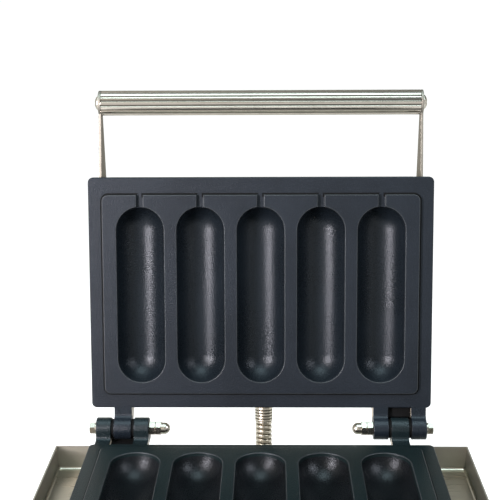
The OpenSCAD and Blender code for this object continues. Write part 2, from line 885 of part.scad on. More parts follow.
module control_panel() {
    color(steel) difference() {
        translate([0, panel_y + panel_t, panel_z]) rotate([90, 0, 0])
            linear_extrude(panel_t) rounded_rect(panel_w, panel_h, 3);
        at_panel_screws() rod_y(small_screw_d + 4 * pin_gap, -4 * panel_t, panel_t);
        for (x = [-1, 1]) {
            translate([x * knob_x, 0, panel_z]) rod_y(bushing_d + 2 * seat, panel_y - 1, front_y + 1);
            translate([x * lamp_x, 0, lamp_z]) rod_y(bezel_hole_d, panel_y - 1, front_y + 1);
        }
        translate([0, panel_y, switch_z - (switch_h - 2) / 2])
            block(switch_w - 2, 4 * panel_t, switch_h - 2);
    }
}

module panel_screws() {
    color(steel) at_panel_screws() translate([0, -seat - panel_t - seat, 0])
        rotate([90, 0, 0]) screw(small_screw_d, panel_screw_l);
}

// Housing of a control behind the panel, with the bushing that its shaft turns in
module control_body(depth) {
    bushing_front = panel_y - 3;
    difference() {
        union() {
            translate([0, front_y + depth / 2 + seat, -control_w / 2]) block(control_w, depth, control_w);
            rod_y(bushing_d, bushing_front, front_y + depth);
        }
        rod_y(shaft_d + 2 * pin_gap, bushing_front - 1, front_y + depth / 2);
    }
}

module control_shaft(depth) {
    rod_y(shaft_d, panel_y - knob_h + 3, front_y + depth / 2 - seat);
}

// Knob with a skirt, a grip and a raised pointer, turned to its off mark
module knob() {
    skirt_y = panel_y - touch;
    difference() {
        union() {
            rod_y(knob_d, skirt_y - skirt_h, skirt_y);
            rod_y(grip_d, skirt_y - knob_h, skirt_y);
            translate([0, skirt_y - knob_h / 2, 1 - grip_d / 2])
                block(grip_d / 3, knob_h, grip_d / 2 + knob_d / 2 - 3);
        }
        rod_y(bushing_d + 2, panel_y - 3 - 2 * touch, panel_y + 1);
        rod_y(shaft_d + 2 * pin_gap, panel_y - knob_h + 2, panel_y);
    }
}

module at_thermostat() {
    translate([-knob_x, 0, panel_z]) children();
}

module at_timer() {
    translate([knob_x, 0, panel_z]) children();
}

module thermostat_body() {
    color(ceramic) at_thermostat() control_body(thermostat_depth);
}

module thermostat_shaft() {
    color(steel) at_thermostat() control_shaft(thermostat_depth);
}

module thermostat_knob() {
    color(black_plastic) at_thermostat() knob();
}

module timer_body() {
    color(ceramic) at_timer() control_body(timer_depth);
}

module timer_shaft() {
    color(steel) at_timer() control_shaft(timer_depth);
}

module timer_knob() {
    color(black_plastic) at_timer() knob();
}

// Frame and pocket of the power switch, with bores for the rocker's pivot
module switch_housing() {
    color(black_plastic) translate([0, panel_y, switch_z]) difference() {
        union() {
            translate([0, -switch_lip / 2 - seat, -switch_h / 2]) block(switch_w, switch_lip, switch_h);
            translate([0, switch_depth / 2 - switch_lip, -(switch_h - 2.4) / 2])
                block(switch_w - 2.4, switch_depth, switch_h - 2.4);
        }
        translate([0, 0, -pocket_half]) block(switch_w - 6, 24, 2 * pocket_half);
        translate([0, rocker_depth, 0]) rod_x(pivot_d + 2 * pin_gap, -pivot_half, pivot_half);
    }
}

// Rocker turned to off, with its two faces at half the switching angle to the frame
module switch_rocker() {
    half_angle = rocker_angle / 2;
    rocker_w = switch_w - 6 - 2 * touch;
    color("#a8201c") translate([0, panel_y + rocker_depth, switch_z]) {
        rotate([half_angle, 0, 0]) rotate([90, 0, 90]) translate([0, 0, -rocker_w / 2])
            linear_extrude(rocker_w) polygon([
                [3, -rocker_half + 3], [-5, -rocker_half], [-5 - 0.6, -rocker_half + 1],
                [-5 + 0.6, 0],
                [-5 - 0.6, rocker_half - 1], [-5, rocker_half], [3, rocker_half - 3]
            ]);
        rod_x(pivot_d, touch - pivot_half, pivot_half - touch);
    }
}

module at_lamps(side) {
    translate([side * lamp_x, panel_y, lamp_z]) children();
}

module lamp_bezels() {
    color(steel) for (side = [-1, 1]) {
        at_lamps(side) difference() {
            union() {
                rod_y(lamp_d, -bezel_t, -seat);
                rod_y(bezel_hole_d - 2 * seat, -seat, bezel_depth);
            }
            rod_y(lens_bore_d, -2 * bezel_t, lamp_depth);
        }
    }
}

// Signal lamp with a domed lens
module lamp() {
    lens_d = lens_bore_d - 2 * seat;
    rod_y(lens_d, -bezel_t - 1, lamp_depth - seat);
    intersection() {
        translate([0, 0.6, 0]) sphere(d = lens_d * 1.25);
        rod_y(lens_d, -9, -3.5);
    }
}

module power_lamp() {
    color("#2f9a4a") at_lamps(-1) lamp();
}

module heat_lamp() {
    color("#d98a1e") at_lamps(1) lamp();
}

// Block with three cable clamps on the base plate
module terminal_block() {
    color(ceramic) translate([mains_x + clamps_set, inner_y, foot_h + sheet]) difference() {
        block(clamps_w, clamps_d, clamps_h);
        for (i = [-1, 0, 1]) {
            translate([i * clamp_pitch, 0, wire_z]) rod_y(wire_d, -clamps_d, clamps_d);
            translate([i * clamp_pitch, 0, wire_z]) cylinder(d = clamp_d, h = clamps_h);
        }
    }
}

module earth_place() {
    translate([mains_x + clamps_set + stud_set, inner_y, 0]) children();
}

module earth_stud() {
    color("#b9923c") translate([0, 0, foot_h]) earth_place() {
        translate([0, 0, -0.5 * screw_d]) cylinder(d = screw_d, h = 24);
        translate([0, 0, sheet]) hexagon(1.6 * screw_d, 0.8 * screw_d);
        translate([0, 0, -0.5 * screw_d]) hexagon(1.6 * screw_d, 0.5 * screw_d - seat);
    }
}

// Gland for the mains lead, with its cap outside the back wall
module mains_gland() {
    cap_d = gland_af - 2;
    color(black_plastic) translate([mains_x, back_y, mains_z]) difference() {
        union() {
            rod_y(gland_d, -14, 1);
            translate([0, seat, 0]) rotate([-90, 0, 0]) hexagon(gland_af, 6);
            rod_y(cap_d, 5, 13);
            translate([0, 13, 0]) rotate([-90, 0, 0]) cylinder(d1 = cap_d, d2 = mains_bore + 4, h = 6);
        }
        rod_y(mains_bore, -15, 20);
    }
}

// Nuts inside the back wall that hold the gland and the elbow
module gland_locknuts() {
    color(steel) for (place = [[mains_x, mains_z], [elbow_x, elbow_z]]) {
        translate([place[0], back_y - sheet - seat - locknut_h, place[1]])
            rotate([-90, 0, 0]) difference() {
                hexagon(gland_af, locknut_h);
                translate([0, 0, -1]) cylinder(d = gland_d + 2 * pin_gap, h = locknut_h + 2);
            }
    }
}

// Right-angled connector of the conduit on the back wall
module conduit_elbow() {
    color(steel) translate([elbow_x, back_y, elbow_z]) difference() {
        union() {
            rod_y(gland_d, -12, 1);
            translate([0, seat, 0]) rotate([-90, 0, 0]) hexagon(gland_af, 6);
            rod_y(elbow_d, 5, elbow_reach);
            translate([0, elbow_reach, 0]) sphere(d = elbow_d);
            translate([0, elbow_reach, -elbow_arm]) cylinder(d = elbow_d, h = elbow_arm);
        }
        rod_y(hose_bore, -13, elbow_reach);
        translate([0, elbow_reach, -elbow_arm - 1]) cylinder(d = hose_bore, h = elbow_arm + 1);
    }
}

// Sleeve that holds the conduit in the hinge side of the cover
module conduit_ferrule() {
    color(steel) on_lid() translate([hose_x, -cover_near, ferrule_rise]) difference() {
        union() {
            rod_y(ferrule_d, seat, ferrule_l);
            translate([0, seat, 0]) rotate([-90, 0, 0]) hexagon(ferrule_d + 4, 6);
            rod_y(ferrule_neck, -10, 1);
            translate([0, -sheet - seat - 4, 0]) rotate([-90, 0, 0]) hexagon(ferrule_neck + 5, 4);
        }
        rod_y(hose_bore, -11, ferrule_l + 1);
    }
}

// Ribbed conduit with its bore, from the ferrule on the lid to the elbow on the back wall
module conduit() {
    function rib_radius(i) = hose_r - (i % 2 == 0 ? hose_groove : 0);
    outer = [for (i = [0 : hose_rings - 1]) each hose_ring(hose_centres[i], hose_slopes[i], rib_radius(i))];
    inner = [for (i = [0 : hose_rings - 1]) each hose_ring(hose_centres[i], hose_slopes[i], hose_bore / 2)];
    count = hose_rings * hose_sides;
    function at(i, k) = i * hose_sides + k % hose_sides;
    sides = [
        for (i = [0 : hose_rings - 2], k = [0 : hose_sides - 1])
            each [[at(i, k), at(i, k + 1), at(i + 1, k + 1)], [at(i, k), at(i + 1, k + 1), at(i + 1, k)]]
    ];
    bore = [for (face = sides) [for (j = [2, 1, 0]) face[j] + count]];
    last = hose_rings - 1;
    ends = [
        for (k = [0 : hose_sides - 1])
            each [
                [at(0, k + 1), at(0, k), count + at(0, k)],
                [at(0, k + 1), count + at(0, k), count + at(0, k + 1)],
                [at(last, k), at(last, k + 1), count + at(last, k)],
                [at(last, k + 1), count + at(last, k + 1), count + at(last, k)]
            ]
    ];
    color(steel) polyhedron(points = concat(outer, inner), faces = concat(sides, bore, ends));
}

// Bolt through one hinge, with its head outside
module hinge_bolt() {
    color(steel) on_base() {
        rod_x(bolt_d, nut_in - nut_h - cap_hex_h - 2, head_out + 1);
        translate([head_out, 0, 0]) rotate([0, 90, 0]) hexagon(head_af, bolt_head_h);
    }
}

module right_hinge_bolt() {
    hinge_bolt();
}

module left_hinge_bolt() {
    mirror([1, 0, 0]) hinge_bolt();
}

module both_hinges() {
    for (side = [0, 1]) {
        mirror([side, 0, 0]) on_base() children();
    }
}

module hinge_washers() {
    color(steel) both_hinges() difference() {
        rod_x(head_af + 0.8, head_out - washer_t + seat / 2, head_out - seat / 2);
        rod_x(bolt_d + 2 * pin_gap, head_out - 2 * washer_t, head_out + 1);
    }
}

module hinge_nuts() {
    color(steel) both_hinges() difference() {
        translate([nut_in - nut_h, 0, 0]) rotate([0, 90, 0]) hexagon(bolt_af, nut_h - seat);
        rod_x(bolt_d + 2 * pin_gap, nut_in - nut_h - 1, nut_in + 1);
    }
}

// Domed nuts on the ends of the hinge bolts
module hinge_cap_nuts() {
    hex_out = nut_in - nut_h - seat;
    hex_in = hex_out - cap_hex_h;
    dome_l = 2.5;
    color(steel) both_hinges() difference() {
        union() {
            translate([hex_in, 0, 0]) rotate([0, 90, 0]) hexagon(bolt_af, cap_hex_h);
            rod_x(2 * cap_dome_r, hex_in - dome_l, hex_in + 1);
            translate([hex_in - dome_l, 0, 0]) sphere(cap_dome_r);
        }
        rod_x(bolt_d + 2 * pin_gap, hex_in - 2 - touch, hex_out + 1);
    }
}

module upper_cover() {
    cover_d = cover_far - cover_near;
    cover_mid = (cover_near + cover_far) / 2;
    color(steel) on_lid() difference() {
        translate([0, -cover_mid, cover_foot]) linear_extrude(cover_h) rounded_rect(cover_w, cover_d, 3);
        translate([0, -cover_mid, cover_foot - 1]) linear_extrude(cover_h - sheet + 1)
            rounded_rect(cover_w - 2 * sheet, cover_d - 2 * sheet, 1.8);
        at_posts() translate([0, 0, cover_top - 4 * sheet])
            cylinder(d = screw_d + 4 * pin_gap, h = 8 * sheet);
        translate([hose_x, -cover_near, ferrule_rise]) rod_y(ferrule_neck + 2 * seat, -2 * sheet, 1);
        for (side = [-1, 1]) {
            at_arm_screws(side) rod_x(small_screw_d + 4 * pin_gap, -8, 8);
        }
    }
}

module cover_screws() {
    color(steel) on_lid() at_posts() translate([0, 0, cover_top + seat]) screw(screw_d, cover_screw_l);
}

// Places of the screws on the outside of an arm
module at_arm_screws(side) {
    for (step = [0.4, 0.85]) {
        translate([side * arm_span / 2, -cover_far + step * arm_hold, arm_rise]) children();
    }
}

// Outline of an arm: s runs from the hinge axis along y, height along x
module arm_outline() {
    tip = handle_reach - handle_r;
    hold = cover_far - arm_hold;
    translate([handle_rise, handle_reach]) circle(handle_r);
    polygon([
        [arm_rise - arm_w / 2, hold],
        [arm_rise + arm_w / 2, hold],
        [arm_rise + arm_w / 2, cover_far],
        [handle_rise + arm_tip_w / 2, tip],
        [handle_rise + arm_tip_w / 2, handle_reach],
        [handle_rise - arm_tip_w / 2, handle_reach],
        [handle_rise - arm_tip_w / 2, tip],
        [arm_rise - arm_w / 2, cover_far]
    ]);
}

module arm(side) {
    inside = side > 0 ? arm_span / 2 - arm_t : -arm_span / 2;
    color(steel) on_lid() difference() {
        translate([inside, 0, 0]) rotate([0, 90, 0]) mirror([1, 0, 0]) mirror([0, 1, 0])
            linear_extrude(arm_t) arm_outline();
        at_arm_screws(side) rod_x(small_screw_d + 4 * pin_gap, -8, 8);
        translate([0, -handle_reach, handle_rise])
            rod_x(bolt_d + 2 * pin_gap, side * arm_span / 2 - 5, side * arm_span / 2 + 5);
    }
}

module left_arm() {
    arm(-1);
}

module right_arm() {
    arm(1);
}

module arm_screws() {
    color(steel) on_lid() for (side = [-1, 1]) {
        at_arm_screws(side) translate([side * seat, 0, 0])
            rotate([0, side * 90, 0]) screw(small_screw_d, panel_screw_l);
    }
}

module at_handle() {
    on_lid() translate([0, -handle_reach, handle_rise]) children();
}

// Fluted tube between the two arms
module handle_tube() {
    color(steel) at_handle() rotate([0, 90, 0]) translate([0, 0, -tube_l / 2])
        linear_extrude(tube_l) difference() {
            circle(handle_r);
            circle(handle_bore / 2);
            for (k = [0 : flute_n - 1]) {
                rotate(360 / flute_n * (k + 0.5))
                    translate([handle_r + flute_r - flute_depth, 0]) circle(flute_r);
            }
        }
}

module handle_plugs() {
    color(steel) at_handle() for (side = [-1, 1]) {
        difference() {
            rod_x(handle_bore - 2 * pin_gap, side > 0 ? tube_l / 2 - plug_l : -tube_l / 2,
                side > 0 ? tube_l / 2 : -tube_l / 2 + plug_l);
            rod_x(bolt_d + 2 * pin_gap, side > 0 ? tube_l / 2 - plug_l + 3 : -tube_l / 2 - 1,
                side > 0 ? tube_l / 2 + 1 : -tube_l / 2 + plug_l - 3);
        }
    }
}

module handle_screws() {
    color(steel) at_handle() for (side = [-1, 1]) {
        translate([side * (arm_span / 2 + seat), 0, 0]) rotate([0, side * 90, 0])
            screw(bolt_d, handle_screw_l);
    }
}

body_shell();
base_plate();
base_screws();
tray_floor();
lower_plate();
plate_screws();
lower_element();
lower_clamp_bars();
lower_clamp_screws();
lower_insulation();
heat_shield();
shield_screws();
thermostat_bulb();
control_panel();
panel_screws();
thermostat_body();
thermostat_shaft();
thermostat_knob();
timer_body();
timer_shaft();
timer_knob();
switch_housing();
switch_rocker();
lamp_bezels();
power_lamp();
heat_lamp();
terminal_block();
earth_stud();
mains_gland();
gland_locknuts();
conduit_elbow();
conduit();
feet();
foot_screws();
left_hinge_bolt();
right_hinge_bolt();
hinge_washers();
hinge_nuts();
hinge_cap_nuts();
upper_plate();
upper_element();
upper_clamp_bars();
upper_clamp_screws();
upper_insulation();
upper_cover();
cover_screws();
left_arm();
right_arm();
arm_screws();
handle_tube();
handle_plugs();
handle_screws();
conduit_ferrule();
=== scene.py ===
import json
from math import acos, asin, atan2, cos, hypot, pi, radians, sin, sqrt, tan
import bmesh
import bpy
from mathutils import Matrix, Vector
from mathutils.geometry import tessellate_polygon

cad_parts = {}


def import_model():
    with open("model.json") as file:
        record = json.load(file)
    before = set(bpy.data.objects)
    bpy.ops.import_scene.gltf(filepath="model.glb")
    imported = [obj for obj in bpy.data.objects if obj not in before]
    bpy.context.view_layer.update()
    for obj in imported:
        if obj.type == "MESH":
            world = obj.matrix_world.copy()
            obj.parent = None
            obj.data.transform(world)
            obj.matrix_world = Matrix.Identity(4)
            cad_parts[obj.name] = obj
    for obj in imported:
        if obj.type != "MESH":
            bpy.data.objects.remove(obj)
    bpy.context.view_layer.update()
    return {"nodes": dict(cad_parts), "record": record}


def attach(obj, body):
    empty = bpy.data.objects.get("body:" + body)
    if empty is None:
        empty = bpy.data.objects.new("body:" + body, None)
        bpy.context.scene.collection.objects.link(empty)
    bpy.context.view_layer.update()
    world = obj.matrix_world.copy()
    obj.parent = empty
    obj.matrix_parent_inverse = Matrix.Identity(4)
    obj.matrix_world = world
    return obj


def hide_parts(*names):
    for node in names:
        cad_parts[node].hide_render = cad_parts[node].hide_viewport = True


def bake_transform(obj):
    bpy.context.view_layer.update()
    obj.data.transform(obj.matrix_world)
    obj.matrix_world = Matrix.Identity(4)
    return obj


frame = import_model()
NODES = frame["nodes"]


# Sizes in millimetres, in the frame of the solids
MM = 0.001
AXIS_Y, AXIS_Z = 117.3, 144.0
OPEN = radians(98.4)
LOWER_FACE, UPPER_FACE = -3.05, -2.75

# Cast plates, along s from the hinge axis
PLATE_W, PLATE_NEAR, PLATE_FAR, PLATE_CORNER = 272.0, 16.8, 201.8, 4.0
SLAB, PAD_H = 8.0, 3.0
PAD_W, PAD_NEAR, PAD_FAR, PAD_CORNER = 250.0, 28.8, 188.2, 5.0
WELL_X = [-95.0, -47.5, 0.0, 47.5, 95.0]
WELL_R, WELL_NEAR, WELL_FAR, WELL_RINGS = 18.7, 57.1, 159.9, 14
BELLY_R, BELLY_RINGS = 22.2, 8
SLOT_HALF = 2.6
# The last width is that of the strip of painted shade on the rim at the pad's foot
EDGE_ROUND, EDGE_STEPS, FOOT_ROUND, PAINTED_SHADE_W = 0.7, 4, 0.5, 0.8
POST_X, POST_S, POST_R = 120.2, (26.0, 192.6), 5.5
UPPER_POST, LOWER_POST = 40.8, 22.35
BOSS_X, BOSS_S, BOSS_R, BOSS_END = 118.75, (70.5, 146.5), 5.0, 22.5

# Hinges
LUG_R, TONGUE_W, EAR_W, LUG_GAP, HINGE_X = 8.7, 14.2, 12.0, 2.0, 111.0
EAR_IN = TONGUE_W / 2 + LUG_GAP
HINGE_HALF = EAR_IN + EAR_W
SADDLE_R = LUG_R + 1
SADDLE_HALF = EAR_IN + 0.5
LUG_SKIN, LUG_EDGE, SHADE_DISC_R = -0.1, 0.6, 7.5
NECK = PLATE_NEAR + 1.02
WEB_S, WEB_RISE = 18.5, 20.0
WEB_LEAN = atan2(WEB_RISE, WEB_S) + acos(LUG_R / hypot(WEB_S, WEB_RISE))
LOWER_FOOT = LOWER_FACE - SLAB - 1
BOLT_D, BOLT_AF, HEAD_AF, HEAD_H, WASHER_T = 6.0, 10.0, 8.4, 4.0, 1.6
NUT_H, CAP_HEX_H, CAP_R, DOME_L = 5.0, 4.6, 4.6, 2.5
HEAD_OUT = HINGE_X + HINGE_HALF + WASHER_T
NUT_IN = HINGE_X - HINGE_HALF

# Faces that screws stand on
SIDE_FACE, ARM_FACE, PANEL_FACE = 165.6, 129.6, -115.7
COVER_TOP = UPPER_FACE + SLAB + 0.1 + 42.0

# Handle
HANDLE_S, HANDLE_T, HANDLE_R, HANDLE_BORE = 260.2, 26.0, 9.9, 7.0
TUBE_L, TUBE_EDGE = 254.8, 0.3
FLUTE_N, FLUTE_DEPTH, FLUTE_HALF, FLUTE_PHASE = 16, 0.7, 0.2, 0.6

# Conduit
HOSE_D, HOSE_GROOVE, HOSE_PITCH, HOSE_X = 13.2, 1.2, 3.8, 2.0
HOSE_LOW, HOSE_FIXED_Z = 10.6, 60.0
FERRULE_S, FERRULE_L, FERRULE_D, FERRULE_T = 18.8, 19.0, 14.2, 26.0
ELBOW = (134.0, 138.0, 86.5)
ELBOW_ARM, ELBOW_D = 10.0, 18.0
BACK_Y = 114.0

# Inner faces of the drip tray
TRAY_X, TRAY_Y, TRAY_Z = 164.28, 112.78, 110.52

# Controls and feet
PANEL_Y, PANEL_Z = -115.6, 64.0
KNOB_X, KNOB_R, GRIP_R, SKIRT_H, KNOB_H = 80.0, 20.0, 13.0, 5.0, 20.0
RIBS, RIB_DEPTH = 24, 0.35
TICK_GAP, TICKS = 2.0, ((6.0, 0.55), (4.2, 0.35))
PRINT_H, PRINT_EDGE = 0.12, 0.03
ROCKER_Y, ROCKER_Z, ROCKER_TILT = PANEL_Y + 4.0, 58.0, radians(10)
LAMP_X, LAMP_Z = 32.0, 80.0
FOOT_X, FOOT_Y = 139.5, 88.0
FOOT_PROFILE = [
    (6.0, 0.0), (14.4, 0.0), (15.0, 0.6), (16.05, 10.0), (15.7, 10.4), (15.8, 11.4),
    (16.3, 11.8), (16.9, 17.3), (16.4, 17.9), (2.6, 17.9), (2.6, 9.0), (6.0, 9.0),
]

# Camera
CAMERA_AT, CAMERA_LENS = (7.74, -704.02, 512.21), 79.56
CAMERA_AHEAD, CAMERA_UP = (-0.0185, 0.9659, -0.2584), (0.0014, 0.2584, 0.966)


def linked(name, data):
    """New object in the scene."""
    obj = bpy.data.objects.new(name, data)
    bpy.context.scene.collection.objects.link(obj)
    return obj


def make_camera():
    """Camera fitted to the photograph."""
    forward = Vector(CAMERA_AHEAD).normalized()
    right = forward.cross(Vector(CAMERA_UP)).normalized()
    up = right.cross(forward)
    data = bpy.data.cameras.new("camera")
    data.sensor_width = 36.0
    data.sensor_fit = "HORIZONTAL"
    data.lens = CAMERA_LENS
    data.clip_start = 0.01
    camera = linked("camera", data)
    turn = Matrix((right, up, -forward)).transposed().to_4x4()
    camera.matrix_world = Matrix.Translation(Vector(CAMERA_AT) * MM) @ turn
    bpy.context.scene.camera = camera


make_camera()


# Places

def lid(x, s, t):
    """Point of the open lid: s along the plate from the hinge axis, t away from the base when shut."""
    y = AXIS_Y - s * cos(OPEN) + t * sin(OPEN)
    z = AXIS_Z + s * sin(OPEN) + t * cos(OPEN)
    return Vector((x, y, z)) * MM


def base(x, s, t):
    """Point of the lower plate, measured from the hinge axis like the shut lid."""
    return Vector((x, AXIS_Y - s, AXIS_Z + t)) * MM


def world(x, y, z):
    """Point of the part's own frame."""
    return Vector((x, y, z)) * MM


def upper_face(x, s, h):
    return lid(x, s, UPPER_FACE - h)


def lower_face(x, s, h):
    return base(x, s, LOWER_FACE + h)


# Places on faces that look up, to the front or to a side, from (a, b, height)

def on_top(x, y, z=0.0):
    return lambda a, b, h: (x + a, y + b, z + h)


def on_front(x, y, z):
    return lambda a, b, h: (x + a, y - h, z + b)


def on_side(side, x, y, z):
    return lambda a, b, h: (side * (x + h), y + a, z + b)


# Mesh tools

class Form:
    """Points in millimetres and faces, gathered before they become one mesh."""

    def __init__(self):
        self.points = []
        self.faces = []

    def add(self, points):
        first = len(self.points)
        self.points.extend(tuple(p) for p in points)
        return list(range(first, len(self.points)))

    def face(self, corners, kind=0):
        self.faces.append((tuple(dict.fromkeys(corners)), kind))

    def strip(self, a, b, kind=0, closed=True):
        """Faces between two rows of points; kind is one number, or a number for each face."""
        n = len(a)
        for i in range(n if closed else n - 1):
            j = (i + 1) % n
            self.face((a[i], a[j], b[j], b[i]), kind[i] if isinstance(kind, list) else kind)

    def loft(self, rings, kind=0):
        """Strips from ring to ring; kind may also be a function of the ring's number."""
        ids = [self.add(r) for r in rings]
        for k, (a, b) in enumerate(zip(ids, ids[1:])):
            self.strip(a, b, kind(k) if callable(kind) else kind)
        return ids

    def fill(self, loops, kind=0):
        """Flat face with holes; loops are lists of point numbers."""
        flat = [i for loop in loops for i in loop]
        for tri in tessellate_polygon([[Vector(self.points[i]) for i in loop] for loop in loops]):
            self.face([flat[i] for i in tri], kind)

    def solid(self, rings, kind=0, end_kind=None):
        """Closed form through the rings."""
        ids = self.loft(rings, kind)
        for end in (ids[0], ids[-1]):
            self.fill([end], kind if end_kind is None else end_kind)

    def prism(self, outline, a0, a1, soft, place, kind=0, end_kind=None):
        """Outline in (u, v), drawn out from a0 to a1 with rounded end edges."""
        sign = 1 if a1 > a0 else -1
        ends = [(soft * (1 - sin(a)), soft * (1 - cos(a))) for a in quarter(3)]
        steps = [(inset, a0 + sign * run) for inset, run in ends]
        steps += [(inset, a1 - sign * run) for inset, run in reversed(ends)]
        rings = [[place(u, v, a) for u, v in offset_loop(outline, -inset)] for inset, a in steps]
        self.solid(rings, kind, end_kind)

    def lathe(self, profile, place, n, kind=0):
        """Turned form: profile is (radius, height) pairs from end to end."""
        self.solid([[place(a, b, h) for a, b in circle(max(r, 1e-4), n)] for r, h in profile], kind)

    def ring_lathe(self, profile, place, n):
        """Turned form with a bore: profile is a closed loop of (radius, height) pairs."""
        self.loft([[place(a, b, h) for a, b in circle(r, n)] for r, h in profile + profile[:1]])


LEAST_MITRE = 0.35


def offset_loop(points, d):
    """Anticlockwise outline moved outwards by d."""
    if abs(d) < 1e-9:
        return list(points)
    result = []
    n = len(points)
    for i in range(n):
        a, b, c = Vector(points[i - 1]), Vector(points[i]), Vector(points[(i + 1) % n])
        e0, e1 = (b - a).normalized(), (c - b).normalized()
        n0, n1 = Vector((e0.y, -e0.x)), Vector((e1.y, -e1.x))
        mid = n0 + n1
        mid = mid / max(mid.length_squared / 2, LEAST_MITRE)
        result.append(tuple(b + mid * d))
    return result


def quarter(n):
    """Angles from zero to a right angle in n steps."""
    return [pi / 2 * k / n for k in range(n + 1)]


def polar(r, a):
    return r * cos(a), r * sin(a)


def circle(r, n):
    return arc((0, 0), r, 0.0, 2 * pi, n)[:-1]


def arc(centre, r, a0, a1, n):
    """Points from angle a0 to a1, both ends included."""
    angles = [a0 + (a1 - a0) * k / n for k in range(n + 1)]
    return [(centre[0] + r * cos(a), centre[1] + r * sin(a)) for a in angles]


def rounded_rect(w, s0, s1, r, d):
    """Outline in (x, s), anticlockwise, moved outwards by d."""
    centres = [(w / 2 - r, s0 + r), (w / 2 - r, s1 - r), (r - w / 2, s1 - r), (r - w / 2, s0 + r)]
    points = []
    for k, centre in enumerate(centres):
        start = (k - 1) * pi / 2
        points.extend(arc(centre, r + d, start, start + pi / 2, 6))
    return points


def finish_mesh(name, mesh, materials, smooth):
    """Object of a mesh; edges that turn by more than smooth, in degrees, stay sharp."""
    for f in mesh.polygons:
        f.use_smooth = True
    mesh.set_sharp_from_angle(angle=radians(smooth))
    for m in materials:
        mesh.materials.append(m)
    obj = linked(name, mesh)
    mod = obj.modifiers.new("weighted", "WEIGHTED_NORMAL")
    mod.keep_sharp = True
    mod.weight = 80
    return obj


def make_object(name, form, place, materials, smooth):
    """Mesh object from a form; place maps a point in millimetres to metres."""
    mesh = bpy.data.meshes.new(name)
    bm = bmesh.new()
    points = [bm.verts.new(place(*p)) for p in form.points]
    for numbers, kind in form.faces:
        corners = [points[k] for k in numbers]
        if len(corners) > 2:
            face = bm.faces.get(corners) or bm.faces.new(corners)
            face.material_index = kind
    bmesh.ops.remove_doubles(bm, verts=bm.verts, dist=1e-6)
    bmesh.ops.dissolve_degenerate(bm, edges=bm.edges, dist=1e-6)
    bmesh.ops.delete(bm, geom=[v for v in bm.verts if not v.link_faces], context="VERTS")
    bmesh.ops.recalc_face_normals(bm, faces=bm.faces)
    bm.to_mesh(mesh)
    bm.free()
    return finish_mesh(name, mesh, materials, smooth)


SLOT_OF = {part["node"]: part["material_slot"] for part in frame["record"]["subparts"]}
BODY_OF = {node: name for name, body in frame["record"]["behaviour"]["bodies"].items() for node in body}


def stand_for(obj, node):
    """Gives an object the body of the node that it stands for, and hides the node."""
    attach(obj, BODY_OF[node])
    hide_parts(node)


def finished(node, form, place, looks, smooth):
    stand_for(make_object(node + "_finished", form, place, looks, smooth), node)


def added(name, form, place, looks, smooth, body):
    """Object that stands for no node."""
    obj = make_object(name, form, place, looks, smooth)
    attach(obj, body)


# Materials

class Nodes:
    """A node tree, written in few lines."""

    def __init__(self, tree):
        self.tree = tree

    def new(self, kind, inputs=None, **values):
        """Node with some of its inputs fed and some of its settings changed."""
        node = self.tree.nodes.new(kind)
        for key, value in values.items():
            setattr(node, key, value)
        for key, value in (inputs or {}).items():
            self.feed(node.inputs[key], value)
        return node

    def feed(self, socket, value):
        """Links a socket, or sets it; a tuple is a colour and a list is a vector."""
        if isinstance(value, bpy.types.NodeSocket):
            self.tree.links.new(value, socket)
        else:
            socket.default_value = (*value, 1.0) if isinstance(value, tuple) else value

    def mix(self, factor, a, b):
        """Colour between a and b."""
        return self.new("ShaderNodeMix", {0: factor, 6: a, 7: b}, data_type="RGBA").outputs[2]

    def ramp(self, value, low, high, a, b):
        """Colour or number that goes from a to b as value goes from low to high."""
        if isinstance(a, (tuple, bpy.types.NodeSocket)):
            return self.mix(self.ramp(value, low, high, 0.0, 1.0), a, b)
        ends = {"Value": value, "From Min": low, "From Max": high, "To Min": a, "To Max": b}
        return self.new("ShaderNodeMapRange", ends).outputs["Result"]

    def combine(self, a, b, kind="ADD"):
        """Sum of two numbers, or what another operation makes of them."""
        return self.new("ShaderNodeMath", {0: a, 1: b}, operation=kind).outputs[0]


class Look(Nodes):
    """The nodes of one material."""

    def __init__(self, name):
        self.material = bpy.data.materials.new(name)
        self.material.use_nodes = True
        super().__init__(self.material.node_tree)
        self.shader = self.tree.nodes["Principled BSDF"]
        self.where = self.new("ShaderNodeTexCoord").outputs["Object"]

    def stretched(self, scale):
        return self.new("ShaderNodeMapping", {"Vector": self.where, "Scale": scale}).outputs["Vector"]

    def noise(self, scale, detail=3.0, rough=0.5, at=None, distortion=0.0):
        return self.new("ShaderNodeTexNoise", {
            "Vector": at or self.where, "Scale": scale, "Detail": detail,
            "Roughness": rough, "Distortion": distortion,
        }).outputs["Fac"]

    def vary(self, noise, a, b):
        """Ramp over the usual range of a noise."""
        return self.ramp(noise, 0.3, 0.7, a, b)

    def bump(self, height, strength, distance):
        node = self.new("ShaderNodeBump", {"Height": height, "Strength": strength, "Distance": distance})
        self.feed(self.shader.inputs["Normal"], node.outputs["Normal"])

    def done(self, **values):
        """Feeds the shader's inputs, named with low lines for blanks, and returns the material."""
        for key, value in values.items():
            self.feed(self.shader.inputs[key.replace("_", " ")], value)
        return self.material


METAL_EDGE = (0.45, 0.43, 0.39)
COAT_SHEEN = (0.86, 0.92, 1.0)


def scaled(colour, k):
    return tuple(min(1.0, c * k) for c in colour)


